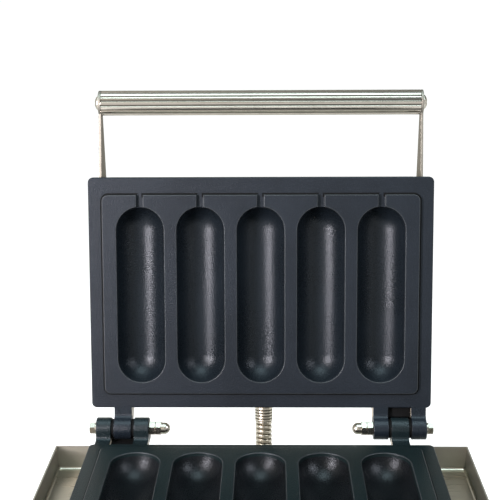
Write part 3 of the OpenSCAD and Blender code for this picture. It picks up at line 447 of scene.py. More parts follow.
def coating(name, colour, rough, gloss, metal=0.0):
    """Non-stick coating on a casting: fine grain, pale specks and a slow change of tone."""
    look = Look(name)
    cloud = look.noise(22.0)
    grain = look.noise(950.0, 3.0, 0.6)
    speck = look.noise(2200.0, 1.0)
    tone = look.vary(cloud, scaled(colour, 0.82), scaled(colour, 1.18))
    flecked = look.mix(look.ramp(speck, 0.60, 0.72, 0.0, 0.5), tone, scaled(colour, 3.5))
    shine = look.combine(look.vary(grain, rough - 0.06, rough + 0.06), look.vary(cloud, -0.03, 0.03))
    look.bump(look.combine(grain, look.combine(speck, 0.3, "MULTIPLY")), 0.44, 0.0005)
    return look.done(
        Base_Color=flecked, Roughness=shine, Metallic=metal,
        Specular_IOR_Level=gloss, Specular_Tint=COAT_SHEEN,
    )


def brushed(name, colour, along, rough, streak=0.04, depth=0.04):
    """Brushed sheet: fine lines along one axis and a faint cloud over them."""
    look = Look(name)
    fine = {"x": [4.0, 900.0, 900.0], "z": [900.0, 900.0, 4.0]}[along]
    lines = look.noise(1.0, 2.0, 0.6, look.stretched(fine))
    cloud = look.noise(18.0, 4.0)
    line_tone = look.vary(lines, scaled(colour, 1 - streak), scaled(colour, 1 + streak))
    tone = look.mix(look.ramp(cloud, 0.25, 0.75, 0.0, 0.5), line_tone, scaled(colour, 0.86))
    shine = look.ramp(lines, 0.25, 0.75, rough - 0.06, rough + 0.06)
    shine = look.combine(shine, look.vary(cloud, -0.03, 0.04))
    look.bump(lines, depth, 0.0003)
    return look.done(Base_Color=tone, Roughness=shine, Metallic=1.0, Specular_Tint=METAL_EDGE)


def bare_with_axis_shade(name, colour):
    """Bare casting on the sides of the lugs, with painted shade: near black within about 9 to 11 mm of
    the hinge axis, where the lugs shade each other.
    """
    look = Look(name)
    axis = [0.0, AXIS_Y * MM, AXIS_Z * MM]
    away = look.new("ShaderNodeVectorMath", {0: look.where, 1: axis}, operation="SUBTRACT").outputs[0]
    sides = list(look.new("ShaderNodeSeparateXYZ", {0: away}).outputs)[1:]
    squares = [look.combine(side, side, "MULTIPLY") for side in sides]
    far = look.combine(look.combine(*squares), 0.5, "POWER")
    shade_edge = look.combine(far, look.vary(look.noise(300.0), -0.0008, 0.0008))
    skin = look.vary(look.noise(700.0), scaled(colour, 0.8), scaled(colour, 1.1))
    # Painted shade: near black close to the axis, bare colour further out
    tone = look.mix(look.ramp(shade_edge, 0.0090, 0.0112, 0.0, 1.0), scaled(colour, 0.02), skin)
    look.bump(look.noise(900.0, 2.0), 0.15, 0.0003)
    return look.done(Base_Color=tone, Roughness=0.5, Metallic=0.3)


def bright(name, colour, rough):
    """Turned or polished metal with small marks."""
    look = Look(name)
    cloud = look.noise(60.0, 4.0)
    fine = look.noise(1600.0, 2.0)
    tone = look.ramp(cloud, 0.3, 0.75, colour, scaled(colour, 0.84))
    shine = look.combine(look.vary(fine, rough - 0.04, rough + 0.05), look.vary(cloud, -0.02, 0.05))
    look.bump(fine, 0.04, 0.0002)
    return look.done(Base_Color=tone, Roughness=shine, Metallic=1.0, Specular_Tint=METAL_EDGE)


def moulded(name, colour, rough, grain=1100.0, depth=0.12):
    """Moulded plastic, ceramic or rubber with a fine skin."""
    look = Look(name)
    fine = look.noise(grain, 2.0, 0.6)
    cloud = look.noise(40.0)
    tone = look.vary(cloud, scaled(colour, 0.82), scaled(colour, 1.15))
    shine = look.vary(fine, rough - 0.06, rough + 0.06)
    look.bump(fine, depth, 0.0003)
    return look.done(Base_Color=tone, Roughness=shine, Metallic=0.0)


def lens(name, colour):
    """Tinted signal lens."""
    look = Look(name)
    cloud = look.noise(120.0, 2.0)
    return look.done(
        Base_Color=look.vary(cloud, colour, scaled(colour, 1.2)), Roughness=look.vary(cloud, 0.07, 0.13),
        Metallic=0.0, Transmission_Weight=0.25, Coat_Weight=0.6, Coat_Roughness=0.05,
    )


def fibrous(name, colour):
    """Matted wool with deep threads."""
    look = Look(name)
    threads = look.noise(700.0, 6.0, 0.7, distortion=1.5)
    look.bump(threads, 0.8, 0.0012)
    tone = look.vary(threads, scaled(colour, 0.6), scaled(colour, 1.2))
    return look.done(Base_Color=tone, Roughness=0.95, Metallic=0.0)


STEEL = (0.43, 0.41, 0.36)
COAT_UPPER = coating("coat_upper", (0.0072, 0.0096, 0.0134), 0.44, 0.21)
COAT_UPPER_MOULD = coating("coat_upper_moulds", (0.0050, 0.0072, 0.0098), 0.30, 0.25)
COAT_LOWER = coating("coat_lower", (0.0044, 0.0090, 0.0098), 0.38, 0.22)
COAT_LOWER_MOULD = coating("coat_lower_moulds", (0.0040, 0.0048, 0.0058), 0.31, 0.25)
# Worn edge with a painted highlight: a lighter coat on the round edges of the pad, channels and wells
COAT_WORN_HIGHLIGHT = coating("coat_worn_highlight", (0.017, 0.020, 0.022), 0.45, 0.35, 0.04)
# Painted shade: near-black coat at the pad's foot, on the saddles between the lugs and on the discs in
# the lug gaps
COAT_PAINTED_SHADE = coating("coat_painted_shade", (0.0035, 0.0035, 0.0035), 0.75, 0.1)
COAT_UPPER_LUG = coating("coat_upper_lugs", (0.0058, 0.0086, 0.0125), 0.30, 0.32)
COAT_LOWER_LUG = coating("coat_lower_lugs", (0.0048, 0.0092, 0.0108), 0.30, 0.32)
# Bare lug sides, with painted shade near the hinge axis
CAST_BARE_AXIS_SHADE = bare_with_axis_shade("bare_casting_axis_shade", (0.52, 0.47, 0.38))
SHEET_X = brushed("stainless_x", STEEL, "x", 0.48)
TRAY = brushed("tray_steel", (0.54, 0.515, 0.45), "x", 0.30, 0.02, 0.012)
ARM = brushed("arm_steel", (0.26, 0.245, 0.215), "z", 0.5)
PANEL = brushed("panel_steel", (0.56, 0.55, 0.525), "x", 0.40)
HARDWARE = bright("bright_hardware", (0.52, 0.49, 0.43), 0.25)
TUBE = bright("polished_tube", (0.54, 0.49, 0.435), 0.16)
# Painted shade in the flutes of the handle
PAINTED_FLUTE_SHADE = bright("flute_painted_shade", (0.16, 0.15, 0.13), 0.3)
CONDUIT = bright("conduit_strip", (0.60, 0.56, 0.47), 0.33)
# Painted shade in the grooves of the conduit and the ferrule
PAINTED_GROOVE_SHADE = bright("conduit_groove_shade", (0.15, 0.135, 0.105), 0.4)
HOT = brushed("heat_stained", (0.29, 0.255, 0.215), "x", 0.45)
WOOL = fibrous("mineral_wool", (0.50, 0.47, 0.40))
PALE = moulded("pale_moulding", (0.78, 0.75, 0.68), 0.5, 900.0)
BLACK = moulded("black_moulding", (0.022, 0.022, 0.024), 0.42, 1300.0)
RED = moulded("red_moulding", (0.50, 0.022, 0.018), 0.22, 600.0, 0.03)
RUBBER = moulded("foot_rubber", (0.026, 0.026, 0.026), 0.7, 800.0, 0.2)
BRASS = bright("earth_brass", (0.62, 0.46, 0.18), 0.24)
GREEN = lens("green_lens", (0.03, 0.42, 0.10))
AMBER = lens("amber_lens", (0.80, 0.30, 0.02))
DARK_MARK = moulded("dark_print", (0.03, 0.03, 0.032), 0.5)
WHITE_MARK = moulded("white_print", (0.80, 0.80, 0.78), 0.5)

SLOT_LOOK = {
    "stainless_sheet": SHEET_X, "bright_hardware": HARDWARE, "polished_tube": TUBE,
    "coated_casting": COAT_UPPER, "heat_stained_steel": HOT, "mineral_wool": WOOL,
    "pale_moulding": PALE, "black_moulding": BLACK, "red_moulding": RED, "green_lens": GREEN,
    "amber_lens": AMBER, "earth_brass": BRASS, "foot_rubber": RUBBER, "conduit_steel": CONDUIT,
}
for node, slot in SLOT_OF.items():
    NODES[node].data.materials.clear()
    NODES[node].data.materials.append(SLOT_LOOK[slot])


def refined(node, look, width, segments=2):
    """Copy of a solid with its sharp edges rounded, which stands for the solid."""
    name = node + "_finished"
    bm = bmesh.new()
    bm.from_mesh(NODES[node].data)
    bmesh.ops.remove_doubles(bm, verts=bm.verts, dist=2e-6)
    bmesh.ops.dissolve_limit(
        bm, angle_limit=radians(0.6), verts=bm.verts, edges=bm.edges, use_dissolve_boundaries=False
    )
    bmesh.ops.recalc_face_normals(bm, faces=bm.faces)
    pairs = [e for e in bm.edges if len(e.link_faces) == 2]
    bmesh.ops.bevel(
        bm, geom=[e for e in pairs if e.calc_face_angle(0) > radians(38)], offset=width * MM,
        offset_type="OFFSET", segments=segments, profile=0.5, affect="EDGES", clamp_overlap=True,
    )
    mesh = bpy.data.meshes.new(name)
    bm.to_mesh(mesh)
    bm.free()
    stand_for(finish_mesh(name, mesh, [look], 40), node)


# Cast plates; each kind of face has its own look

# Kinds of face: lighter worn edge with a painted highlight, painted shade, and the moulds
WORN_HIGHLIGHT, PAINTED_SHADE, MOULD = 1, 2, 3


class PadEdge:
    """The pad's edge as one loop: round the pad, down each stick channel and round each well."""

    def __init__(self):
        outer = [("outer", k, 0, 0) for k in range(len(self.around(0.0)))]
        cut = len(outer) // 2
        inner = []
        for xc in reversed(WELL_X):
            down = [("rim", 1, PAD_FAR, xc), ("channel", 1, PAD_FAR - 2.0, xc)]
            down += [("channel", 1, PAD_FAR - 5.0, xc), ("mouth", 1, 0, xc)]
            inner += down + [("well", a, c, xc) for a, c in self.round_well()]
            inner += [(kind, -side, s, x) for kind, side, s, x in reversed(down)]
        # kind; number, side or angle; s of the point or of its centre; x of the well
        self.items = outer[:cut] + inner + outer[cut:]

    def around(self, out):
        return rounded_rect(PAD_W, PAD_NEAR, PAD_FAR, PAD_CORNER, out)

    def round_well(self, n=22, straight=10):
        """Angles round the well from its channel, clockwise, with the centre each belongs to."""
        sweep = pi / 2 - asin(SLOT_HALF / WELL_R)
        down = [WELL_FAR + (WELL_NEAR - WELL_FAR) * k / straight for k in range(1, straight)]
        steps = [(sweep * (1 - k / n), WELL_FAR) for k in range(1, n + 1)]
        steps += [(0.0, c) for c in down]
        steps += [(-pi * k / (2 * n), WELL_NEAR) for k in range(2 * n + 1)]
        steps += [(pi, c) for c in reversed(down)]
        steps += [(pi - sweep * k / n, WELL_FAR) for k in range(n)]
        return steps

    def kinds(self, level):
        """Look of each face under one ring: lighter worn edge with a painted highlight on the round
        edge, painted shade on the pad's outer wall and on the rim at its foot.
        """
        if level < EDGE_STEPS:
            return [WORN_HIGHLIGHT] * len(self.items)
        return [PAINTED_SHADE if item[0] in ("outer", "rim") else 0 for item in self.items]

    def ring(self, h, out, dip):
        """The loop at height h: out moves the pad's walls outwards, dip is the wells' radius there."""
        outer = self.around(out)
        points = []
        for kind, a, b, xc in self.items:
            x = a * (SLOT_HALF - out)
            if kind == "outer":
                points.append((*outer[a], h))
            elif kind == "rim":
                points.append((xc + x, b + out, h))
            elif kind == "channel":
                points.append((xc + x, b, h))
            elif kind == "mouth":
                points.append((xc + x, WELL_FAR + sqrt(dip * dip - x * x), h))
            else:
                points.append((xc + dip * cos(a), b + dip * sin(a), h))
        return points


def pad_levels():
    """Height, outward move and well radius of each ring from the pad's face down to the rim."""
    levels = []
    for a in quarter(EDGE_STEPS):
        back = EDGE_ROUND * (1 - sin(a))
        levels.append((-EDGE_ROUND * (1 - cos(a)), -back, WELL_R + back))
    for h in (-1.6, FOOT_ROUND - PAD_H):
        levels.append((h, 0.0, sqrt(WELL_R ** 2 - h * h)))
    for a in quarter(3)[1:]:
        h = FOOT_ROUND * (1 - sin(a)) - PAD_H
        levels.append((h, FOOT_ROUND * (1 - cos(a)), sqrt(WELL_R ** 2 - h * h)))
    # Last ring: a strip of painted shade on the rim beside the pad's foot
    return levels + [(-PAD_H, FOOT_ROUND + PAINTED_SHADE_W, levels[-1][2])]


def well_ring(xc, rho, h, wall):
    """Points round a well; wall has the angle and the centre of each."""
    return [(xc + rho * cos(a), c + rho * sin(a), h) for a, c in wall]


def bowl_levels(r, depth, n):
    """Radius and height of rings from a depth to the bottom of a round bowl."""
    start = asin(depth / r)
    turns = [start + (pi / 2 - start) * k / n for k in range(n + 1)]
    return [(r * cos(turn), -r * sin(turn)) for turn in turns]


def add_face(form):
    """Pad, channels and wells; returns the loop round the pad's foot."""
    edge = PadEdge()
    levels = pad_levels()
    rings = form.loft([edge.ring(*level) for level in levels], edge.kinds)
    form.fill([rings[0]])
    foot, dip = rings[-1], levels[-1][2]
    reach = (SLOT_HALF - levels[-1][1]) / dip
    first, last = acos(reach), acos(-reach)
    bridge_wall = [(first + (last - first) * k / 4, WELL_FAR) for k in (1, 2, 3)]
    rim, wells, i = [], [], 0
    while i < len(edge.items):
        rim.append(foot[i])
        if edge.items[i][0] == "mouth":
            j = next(k for k in range(i + 1, len(edge.items)) if edge.items[k][0] == "mouth")
            xc = edge.items[i][3]
            bridge = form.add(well_ring(xc, dip, -PAD_H, bridge_wall))
            rim.extend(bridge + [foot[j]])
            wall = [(first, WELL_FAR)] + [item[1:3] for item in edge.items[i + 1:j]] + [(last, WELL_FAR)]
            wells.append((xc, foot[i:j + 1] + bridge[::-1], wall + bridge_wall[::-1]))
            i = j
        i += 1
    for xc, previous, wall in wells:
        for rho, h in bowl_levels(WELL_R, PAD_H, WELL_RINGS)[1:]:
            current = form.add(well_ring(xc, rho, h, wall))
            form.strip(previous, current, MOULD)
            previous = current
    return rim


def add_back(form, outer):
    """Back of the casting with the bellies of the wells."""
    outline = [(pi * k / 16, WELL_FAR) for k in range(17)]
    outline += [(pi + pi * k / 16, WELL_NEAR) for k in range(17)]
    levels = bowl_levels(BELLY_R, SLAB, BELLY_RINGS)
    holes = [form.loft([well_ring(xc, rho, h, outline) for rho, h in levels])[0] for xc in WELL_X]
    form.fill([outer] + holes)


def casting(post_l):
    """One casting, face up at height 0, with posts of a given length and bosses on its back."""
    form = Form()
    rim = add_face(form)
    side = [(1.0, PAD_H), (0.7, PAD_H + 0.09), (0.29, PAD_H + 0.42), (0.0, PAD_H + 1.0),
            (0.0, SLAB - 0.8), (0.2, SLAB - 0.2), (0.8, SLAB)]
    rings = form.loft([
        [(x, s, -h) for x, s in rounded_rect(PLATE_W, PLATE_NEAR, PLATE_FAR, PLATE_CORNER, -inset)]
        for inset, h in side
    ])
    form.fill([rings[0], rim])
    add_back(form, rings[-1])
    post = [(POST_R, 0.5 - SLAB), (POST_R, 0.4 - SLAB - post_l), (POST_R - 0.4, -SLAB - post_l)]
    boss = [(BOSS_R, 0.5 - SLAB), (BOSS_R, 0.3 - BOSS_END), (BOSS_R - 0.3, -BOSS_END)]
    for x in (-1, 1):
        for s in POST_S:
            form.lathe(post, on_top(x * POST_X, s), 28)
        for s in BOSS_S:
            form.lathe(boss, on_top(x * BOSS_X, s), 24)
    return form


for name, node, post_l, place, coat, mould_coat in (
    ("upper_casting", "upper_plate", UPPER_POST, upper_face, COAT_UPPER, COAT_UPPER_MOULD),
    ("lower_casting", "lower_plate", LOWER_POST, lower_face, COAT_LOWER, COAT_LOWER_MOULD),
):
    looks = [coat, COAT_WORN_HIGHLIGHT, COAT_PAINTED_SHADE, mould_coat]
    stand_for(make_object(name, casting(post_l), place, looks, 40), node)


# Hinge lugs: outlines in (s, t) about the hinge axis

BARE_AXIS_SHADE = 1


def lower_outline(fillet=3.0):
    """Eye on a foot as deep as the eye, with a neck to the plate."""
    root = LOWER_FACE - PAD_H
    points = [(NECK, LOWER_FOOT), (NECK, root)]
    points += arc((LUG_R + fillet, root + fillet), fillet, 1.5 * pi, pi, 6)
    points += arc((0, 0), LUG_R, 0, pi, 36)
    return points + [(-LUG_R, LOWER_FOOT + 1), (1 - LUG_R, LOWER_FOOT)]


def upper_outline(fillet=4.0):
    """Eye with a neck to the plate and a web that slants up its back."""
    root, back = UPPER_FACE + PAD_H, UPPER_FACE + SLAB
    low = root - fillet
    centre = (sqrt((LUG_R + fillet) ** 2 - low * low), low)
    turn = atan2(centre[1], centre[0])
    points = [(NECK, root), (NECK, back), (WEB_S, back), (WEB_S, WEB_RISE - 1.5)]
    points += [(WEB_S - 1.7, WEB_RISE - 0.9)] + arc((0, 0), LUG_R, WEB_LEAN, 2 * pi + turn, 40)
    return points + arc(centre, fillet, pi + turn, pi / 2, 6)


def upper_saddle():
    """Web behind the eye that turns between the upper lugs."""
    back = UPPER_FACE + SLAB - 1
    slope = Vector((LUG_R * cos(WEB_LEAN) - WEB_S, LUG_R * sin(WEB_LEAN) - WEB_RISE))
    top = (WEB_S + slope.x * 0.8, WEB_RISE + slope.y * 0.8)
    hollow = arc((0, 0), SADDLE_R, atan2(top[1], top[0]), asin(back / SADDLE_R), 12)
    return [(WEB_S, back), (WEB_S, WEB_RISE), top] + hollow


def along_axis(s, t, x):
    return (x, s, t)


def add_shade_discs(form):
    """Near-black discs of painted shade in the gaps between the lugs, where the gaps lie in shade."""
    half, out = LUG_GAP / 2 - LUG_SKIN - 0.1, (TONGUE_W + LUG_GAP) / 2
    for x in (-HINGE_X - out, out - HINGE_X, HINGE_X - out, HINGE_X + out):
        form.lathe([(SHADE_DISC_R, x - half), (SHADE_DISC_R, x + half)], along_axis, 40, PAINTED_SHADE)


def lugs(name, place, ears_x, outline, saddle, look, body):
    """Two ears with a saddle at one hinge and a tongue at the other; their side faces are bare casting
    with painted shade round the axis, and the saddle is painted shade.
    """
    form = Form()
    near, half = EAR_IN - LUG_SKIN, TONGUE_W / 2 + LUG_SKIN
    ears = [(ears_x - HINGE_HALF, ears_x - near), (ears_x + near, ears_x + HINGE_HALF)]
    for x0, x1 in ears + [(-ears_x - half, half - ears_x)]:
        form.prism(outline, x0, x1, LUG_EDGE, along_axis, 0, BARE_AXIS_SHADE)
    if body == "base":
        add_shade_discs(form)
    # The saddle between the ears is painted shade
    form.prism(saddle, ears_x - SADDLE_HALF, ears_x + SADDLE_HALF, 0.2, along_axis, PAINTED_SHADE)
    added(name, form, place, [look, CAST_BARE_AXIS_SHADE, COAT_PAINTED_SHADE], 50, body)


LOWER_SADDLE = [(-LUG_R, LOWER_FOOT), (NECK, LOWER_FOOT), (NECK, -SADDLE_R), (-LUG_R, -SADDLE_R)]
lugs("upper_lugs", lid, HINGE_X, upper_outline(), upper_saddle(), COAT_UPPER_LUG, "lid")
lugs("lower_lugs", base, -HINGE_X, lower_outline(), LOWER_SADDLE, COAT_LOWER_LUG, "base")


# Nuts, bolts and screws

def add_hex(form, af, h0, h1, place, plain=False, bore=0.0, n=72):
    """Hexagon from h0 to h1 with turned ends or a plain first end, and a bore when one is given."""
    flat_r = af / 2 * 0.965
    angles = [2 * pi * k / n for k in range(n)]
    corner = [af / 2 / cos((a + pi / 6) % (pi / 3) - pi / 6) for a in angles]
    drop = [(r - flat_r) * tan(radians(30)) for r in corner]

    def ring(radii, heights):
        return [place(*polar(r, a), h) for a, r, h in zip(angles, radii, heights)]

    flat, start, end = [flat_r] * n, [h0] * n, [h1] * n
    rings = [ring(corner, start)] if plain else [ring(flat, start), ring(corner, [h0 + d for d in drop])]
    rings += [ring(corner, [h1 - d for d in drop]), ring(flat, end)]
    if bore:
        rings = [ring([bore] * n, start)] + rings + [ring([bore] * n, end)]
        form.loft(rings + rings[:1])
    else:
        form.solid(rings)


def add_split_washer(form, r0, r1, h0, h1, place, n=40):
    """Spring washer with a narrow gap."""
    soft = 0.15
    section = [(r0, h0), (r1 - soft, h0), (r1, h0 + soft), (r1, h1 - soft), (r1 - soft, h1), (r0, h1)]
    angles = [radians(4 + 352 * k / n) for k in range(n + 1)]
    form.solid([[place(*polar(r, a), h) for r, h in section] for a in angles])


def add_screw_head(form, d, place):
    """Domed head with a cross recess, standing on height 0."""
    rim, dome, sunk = 0.95 * d, 1.425 * d, 0.855 * d
    half, reach, slope, depth = 0.15 * d, 0.5 * d, 0.03 * d, 0.3 * d

    def height(x, y):
        h = sqrt(dome * dome - x * x - y * y) - sunk
        inside = (abs(x) <= half and abs(y) <= reach) or (abs(y) <= half and abs(x) <= reach)
        return h - depth if inside else h

    marks = [-reach - slope, -reach, -half - slope, -half, half, half + slope, reach, reach + slope]
    grid = [form.add([place(x, y, height(x, y)) for x in marks]) for y in marks]
    for a, b in zip(grid, grid[1:]):
        form.strip(a, b, closed=False)
    n = len(marks)
    border = [(i, 0) for i in range(n)] + [(n - 1, j) for j in range(1, n)]
    border += [(i, n - 1) for i in range(n - 2, -1, -1)] + [(0, j) for j in range(n - 2, 0, -1)]
    previous = [grid[j][i] for i, j in border]
    angles = [atan2(marks[j], marks[i]) for i, j in border]
    low = sqrt(dome * dome - rim * rim) - sunk
    steps = [(r, height(r, 0)) for r in (0.82 * rim, 0.93 * rim)]
    steps += [(0.985 * rim, low - 0.01 * d), (rim, low - 0.07 * d), (rim, 0.0)]
    for r, h in steps:
        current = form.add([place(*polar(r, a), h) for a in angles])
        form.strip(previous, current)
        previous = current
    form.fill([previous])


def hinge_bolt(side, node):
    """Bolt along the hinge axis, with its head outside."""
    form = Form()
    place = on_side(side, 0.0, AXIS_Y, AXIS_Z)
    add_hex(form, HEAD_AF, HEAD_OUT, HEAD_OUT + HEAD_H, place, True)
    inner = NUT_IN - NUT_H - CAP_HEX_H - 2
    form.lathe([(BOLT_D / 2, inner), (BOLT_D / 2, HEAD_OUT + 1)], place, 32)
    finished(node, form, world, [HARDWARE], 30)


def hinge_small_parts():
    """Spring washers under the heads, and a nut and a cap nut at each inner end."""
    washers, nuts, caps = Form(), Form(), Form()
    for side in (-1, 1):
        place = on_side(side, 0.0, AXIS_Y, AXIS_Z)
        washer = (BOLT_D / 2 + 0.2, HEAD_AF / 2 + 0.4, HEAD_OUT - WASHER_T + 0.05, HEAD_OUT - 0.05)
        add_split_washer(washers, *washer, place)
        add_hex(nuts, BOLT_AF, NUT_IN - NUT_H, NUT_IN - 0.1, place, bore=BOLT_D / 2 + 0.02)
        hex_out = NUT_IN - NUT_H - 0.1
        hex_in = hex_out - CAP_HEX_H
        add_hex(caps, BOLT_AF, hex_in, hex_out, place)
        dome = [(CAP_R * cos(a), hex_in - DOME_L - CAP_R * sin(a)) for a in quarter(8)]
        caps.lathe([(CAP_R, hex_in + 1)] + dome, place, 40)
    for small, node in ((washers, "hinge_washers"), (nuts, "hinge_nuts"), (caps, "hinge_cap_nuts")):
        finished(node, small, world, [HARDWARE], 30)


hinge_bolt(-1, "left_hinge_bolt")
hinge_bolt(1, "right_hinge_bolt")
hinge_small_parts()


def screw_heads(node, d, shank, map_to, places):
    """Screws with cross heads; each place maps (a, b, height) to the frame of map_to."""
    form = Form()
    for place in places:
        add_screw_head(form, d, place)
        form.lathe([(d / 2, 0.05), (d / 2, 0.3 - shank), (d / 2 - 0.3, -shank)], place, 20)
    finished(node, form, map_to, [HARDWARE], 35)


def both_sides(x, vs, w):
    return [on_side(side, x, v, w) for side in (-1, 1) for v in vs]


screw_heads("base_screws", 4.0, 8.0, world, both_sides(SIDE_FACE, (-74.0, 74.0), 25.2))
screw_heads("arm_screws", 4.0, 9.0, lid, both_sides(ARM_FACE, (167.4, 191.7), 31.0))
screw_heads("handle_screws", 6.0, 15.0, lid, both_sides(ARM_FACE, (HANDLE_S,), HANDLE_T))
screw_heads("panel_screws", 4.0, 9.0, world,
            [on_front(x, PANEL_FACE, z) for x in (-119.0, 119.0) for z in (34.0, 94.0)])
screw_heads("cover_screws", 5.0, 18.0, lid,
            [on_top(x, s, COVER_TOP + 0.1) for x in (-POST_X, POST_X) for s in POST_S])


# Handle

def handle_radius(a):
    """Tube radius at an angle: round ribs with a narrow flute between them."""
    p = (a * FLUTE_N / (2 * pi) + FLUTE_PHASE) % 1.0
    w = min(p, 1 - p) / FLUTE_HALF
    return HANDLE_R - 0.01 - (FLUTE_DEPTH * sqrt(1 - w * w) if w < 1 else 0.0)


def handle_tube():
    """Fluted tube with small chamfers; the flutes carry painted shade."""
    n = FLUTE_N * 18
    angles = [2 * pi * k / n for k in range(n)]
    bore, outer = [HANDLE_BORE] * n, [handle_radius(a) for a in angles]
    ends = [r - TUBE_EDGE for r in outer]
    half = TUBE_L / 2
    inner = half - TUBE_EDGE
    rows = [(bore, half), (ends, half), (outer, inner), (outer, -inner), (ends, -half), (bore, -half)]
    rings = [
        [(x, HANDLE_S + r * cos(a), HANDLE_T + r * sin(a)) for r, a in zip(radii, angles)]
        for radii, x in rows + rows[:1]
    ]
    # Faces in the flutes get the painted shade
    flute = [1 if handle_radius(a + pi / n) < HANDLE_R - 0.3 * FLUTE_DEPTH else 0 for a in angles]
    form = Form()
    form.loft(rings, lambda k: flute if k in (1, 2, 3) else 0)
    finished("handle_tube", form, lid, [TUBE, PAINTED_FLUTE_SHADE], 50)


handle_tube()


# Conduit: the route of the solid, swept with a wound strip

def hose_route():
    """Centres of the conduit from the ferrule on the lid to the elbow, in millimetres."""
    ahead = Vector((0, cos(OPEN), -sin(OPEN)))
    start = lid(HOSE_X, FERRULE_S - FERRULE_L, FERRULE_T) / MM + 0.1 * ahead
    stop = Vector((ELBOW[0], ELBOW[1], ELBOW[2] - ELBOW_ARM - 0.1))
    a = start + HOSE_D * ahead
    b = stop - Vector((0, 0, HOSE_D))
    bend, drop = b.z - HOSE_LOW, a.z - HOSE_LOW
    swing = ELBOW[0] - bend - a.x
    split, n = 0.65, 240
    points = [start]
    for k in range(n + 1):
        u = k / n
        down = min(u / split, 1) * pi / 2
        up = max((u - split) / (1 - split), 0) * pi / 2
        ease = (1 - u) ** 2
        sway = (1 + 2 * u) * ease * a.y + 2 * u * ease * drop * ahead.y + u * u * (3 - 2 * u) * b.y
        points.append(Vector((
            a.x + swing * (1 - cos(down)) + bend * sin(up),
            sway,
            a.z - drop * sin(down) + bend * (1 - cos(up)),
        )))
    return points + [stop]


def even_points(points, step):
    """Points at an even spacing along a line, and the line's length."""
    runs = [0.0]
    for p, q in zip(points, points[1:]):
        runs.append(runs[-1] + (q - p).length)
    count = round(runs[-1] / step)
    result, i = [], 0
    for k in range(count + 1):
        d = runs[-1] * k / count
        while i < len(runs) - 2 and runs[i + 1] < d:
            i += 1
        result.append(points[i].lerp(points[i + 1], (d - runs[i]) / (runs[i + 1] - runs[i])))
    return result, runs[-1]


def strip_radius(turn):
    """Radius of the wound strip: a crowned band with a narrow groove at each turn."""
    p = turn % 1.0
    w = min(p, 1 - p)
    groove = max(0.0, 1 - w / 0.17)
    return HOSE_D / 2 - HOSE_GROOVE * groove * groove * (3 - 2 * groove) - 0.25 * (1 - 2 * w) ** 2


def conduit():
    """Wound strip along the route from the ferrule on the lid to the elbow on the base."""
    centres, length = even_points(hose_route(), HOSE_PITCH / 10)
    step, sides = length / (len(centres) - 1), 28
    rings = []
    for k, c in enumerate(centres):
        ahead = (centres[min(k + 1, len(centres) - 1)] - centres[max(k - 1, 0)]).normalized()
        u = ahead.cross(Vector((0, 1, 0))).normalized()
        v = ahead.cross(u)
        ring = []
        for j in range(sides):
            p, q = polar(strip_radius(k * step / HOSE_PITCH + j / sides), 2 * pi * j / sides)
            ring.append(tuple(c + u * p + v * q))
        rings.append(ring)

    # Faces along the groove of each turn get the painted shade
    def painted_groove_faces(k):
        start = (k + 0.5) * step / HOSE_PITCH
        turns = [(start + (j + 0.5) / sides) % 1.0 for j in range(sides)]
        return [1 if min(q, 1 - q) < 0.08 else 0 for q in turns]

    form = Form()
    form.solid(rings, painted_groove_faces, 0)
    obj = make_object("conduit_wound", form, world, [CONDUIT, PAINTED_GROOVE_SHADE], 60)
    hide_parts("conduit")
    top, low = centres[0] * MM, world(ELBOW[0], ELBOW[1], HOSE_FIXED_Z)
    tuple(low)
    tuple(top)
    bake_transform(obj)
    route = even_points(hose_route(), 4.0)[0]
    tuple(top)


conduit()


def ferrule():
    """Sleeve on the lid: a hexagon, a locknut inside the cover and a grooved grip."""
    form = Form()

    def place(a, b, h):
        return (HOSE_X + a, FERRULE_S - h, FERRULE_T + b)

    r = FERRULE_D / 2
    add_hex(form, FERRULE_D + 4, 0.1, 6.1, place)
    form.lathe([(7.0, -10.0), (7.0, 1.0)], place, 40)
    add_hex(form, 19.0, -5.3, -1.3, place)
    # Rows: radius, height, and 1 for faces in a groove, which get the painted shade
    sleeve = [(r - 0.6, 5.0, 0), (r - 0.6, 7.0, 0), (r - 0.2, 7.2, 0)]
    while sleeve[-1][1] < FERRULE_L - 2:
        h = sleeve[-1][1]
        sleeve += [(r, h + 0.5, 0), (r, h + 1.7, 0)]
        sleeve += [(r - 0.2, h + 2.0, 1), (r - 0.7, h + 2.2, 1), (r - 0.2, h + 2.4, 1)]
    rings = [[place(a, b, h) for a, b in circle(q, 48)] for q, h, kind in sleeve]
    form.solid(rings, lambda k: sleeve[k][2], 0)
    finished("conduit_ferrule", form, lid, [CONDUIT, PAINTED_GROOVE_SHADE], 32)


def elbow():
    """Elbow on the back wall: a hexagon, a quarter bend and a collar that looks down."""
    form = Form()
    x, y, z = ELBOW

    def out(a, b, h):
        return (x + a, BACK_Y + h, z + b)

    add_hex(form, 22.0, 0.1, 6.1, out)
    form.lathe([(8.0, -12.0), (8.0, 1.0)], out, 40)
    r, bend = ELBOW_D / 2, 11.0
    neck = r - 0.8
    section = circle(neck, 40)
    rings = [[out(a, b, h) for a, b in section] for h in (5.0, 8.0, y - BACK_Y - bend)]
    for t in quarter(10)[1:]:
        cy, cz = y - bend + bend * sin(t), z - bend + bend * cos(t)
        rings.append([(x + a, cy + b * sin(t), cz + b * cos(t)) for a, b in section])
    low = z - ELBOW_ARM
    for radius, height in ((neck, low + 2.6), (r, low + 2.2), (r, low + 0.4), (r - 0.4, low)):
        rings.append([(x + a, y + b, height) for a, b in circle(radius, 40)])
    form.solid(rings)
    finished("conduit_elbow", form, world, [HARDWARE], 32)


ferrule()
elbow()


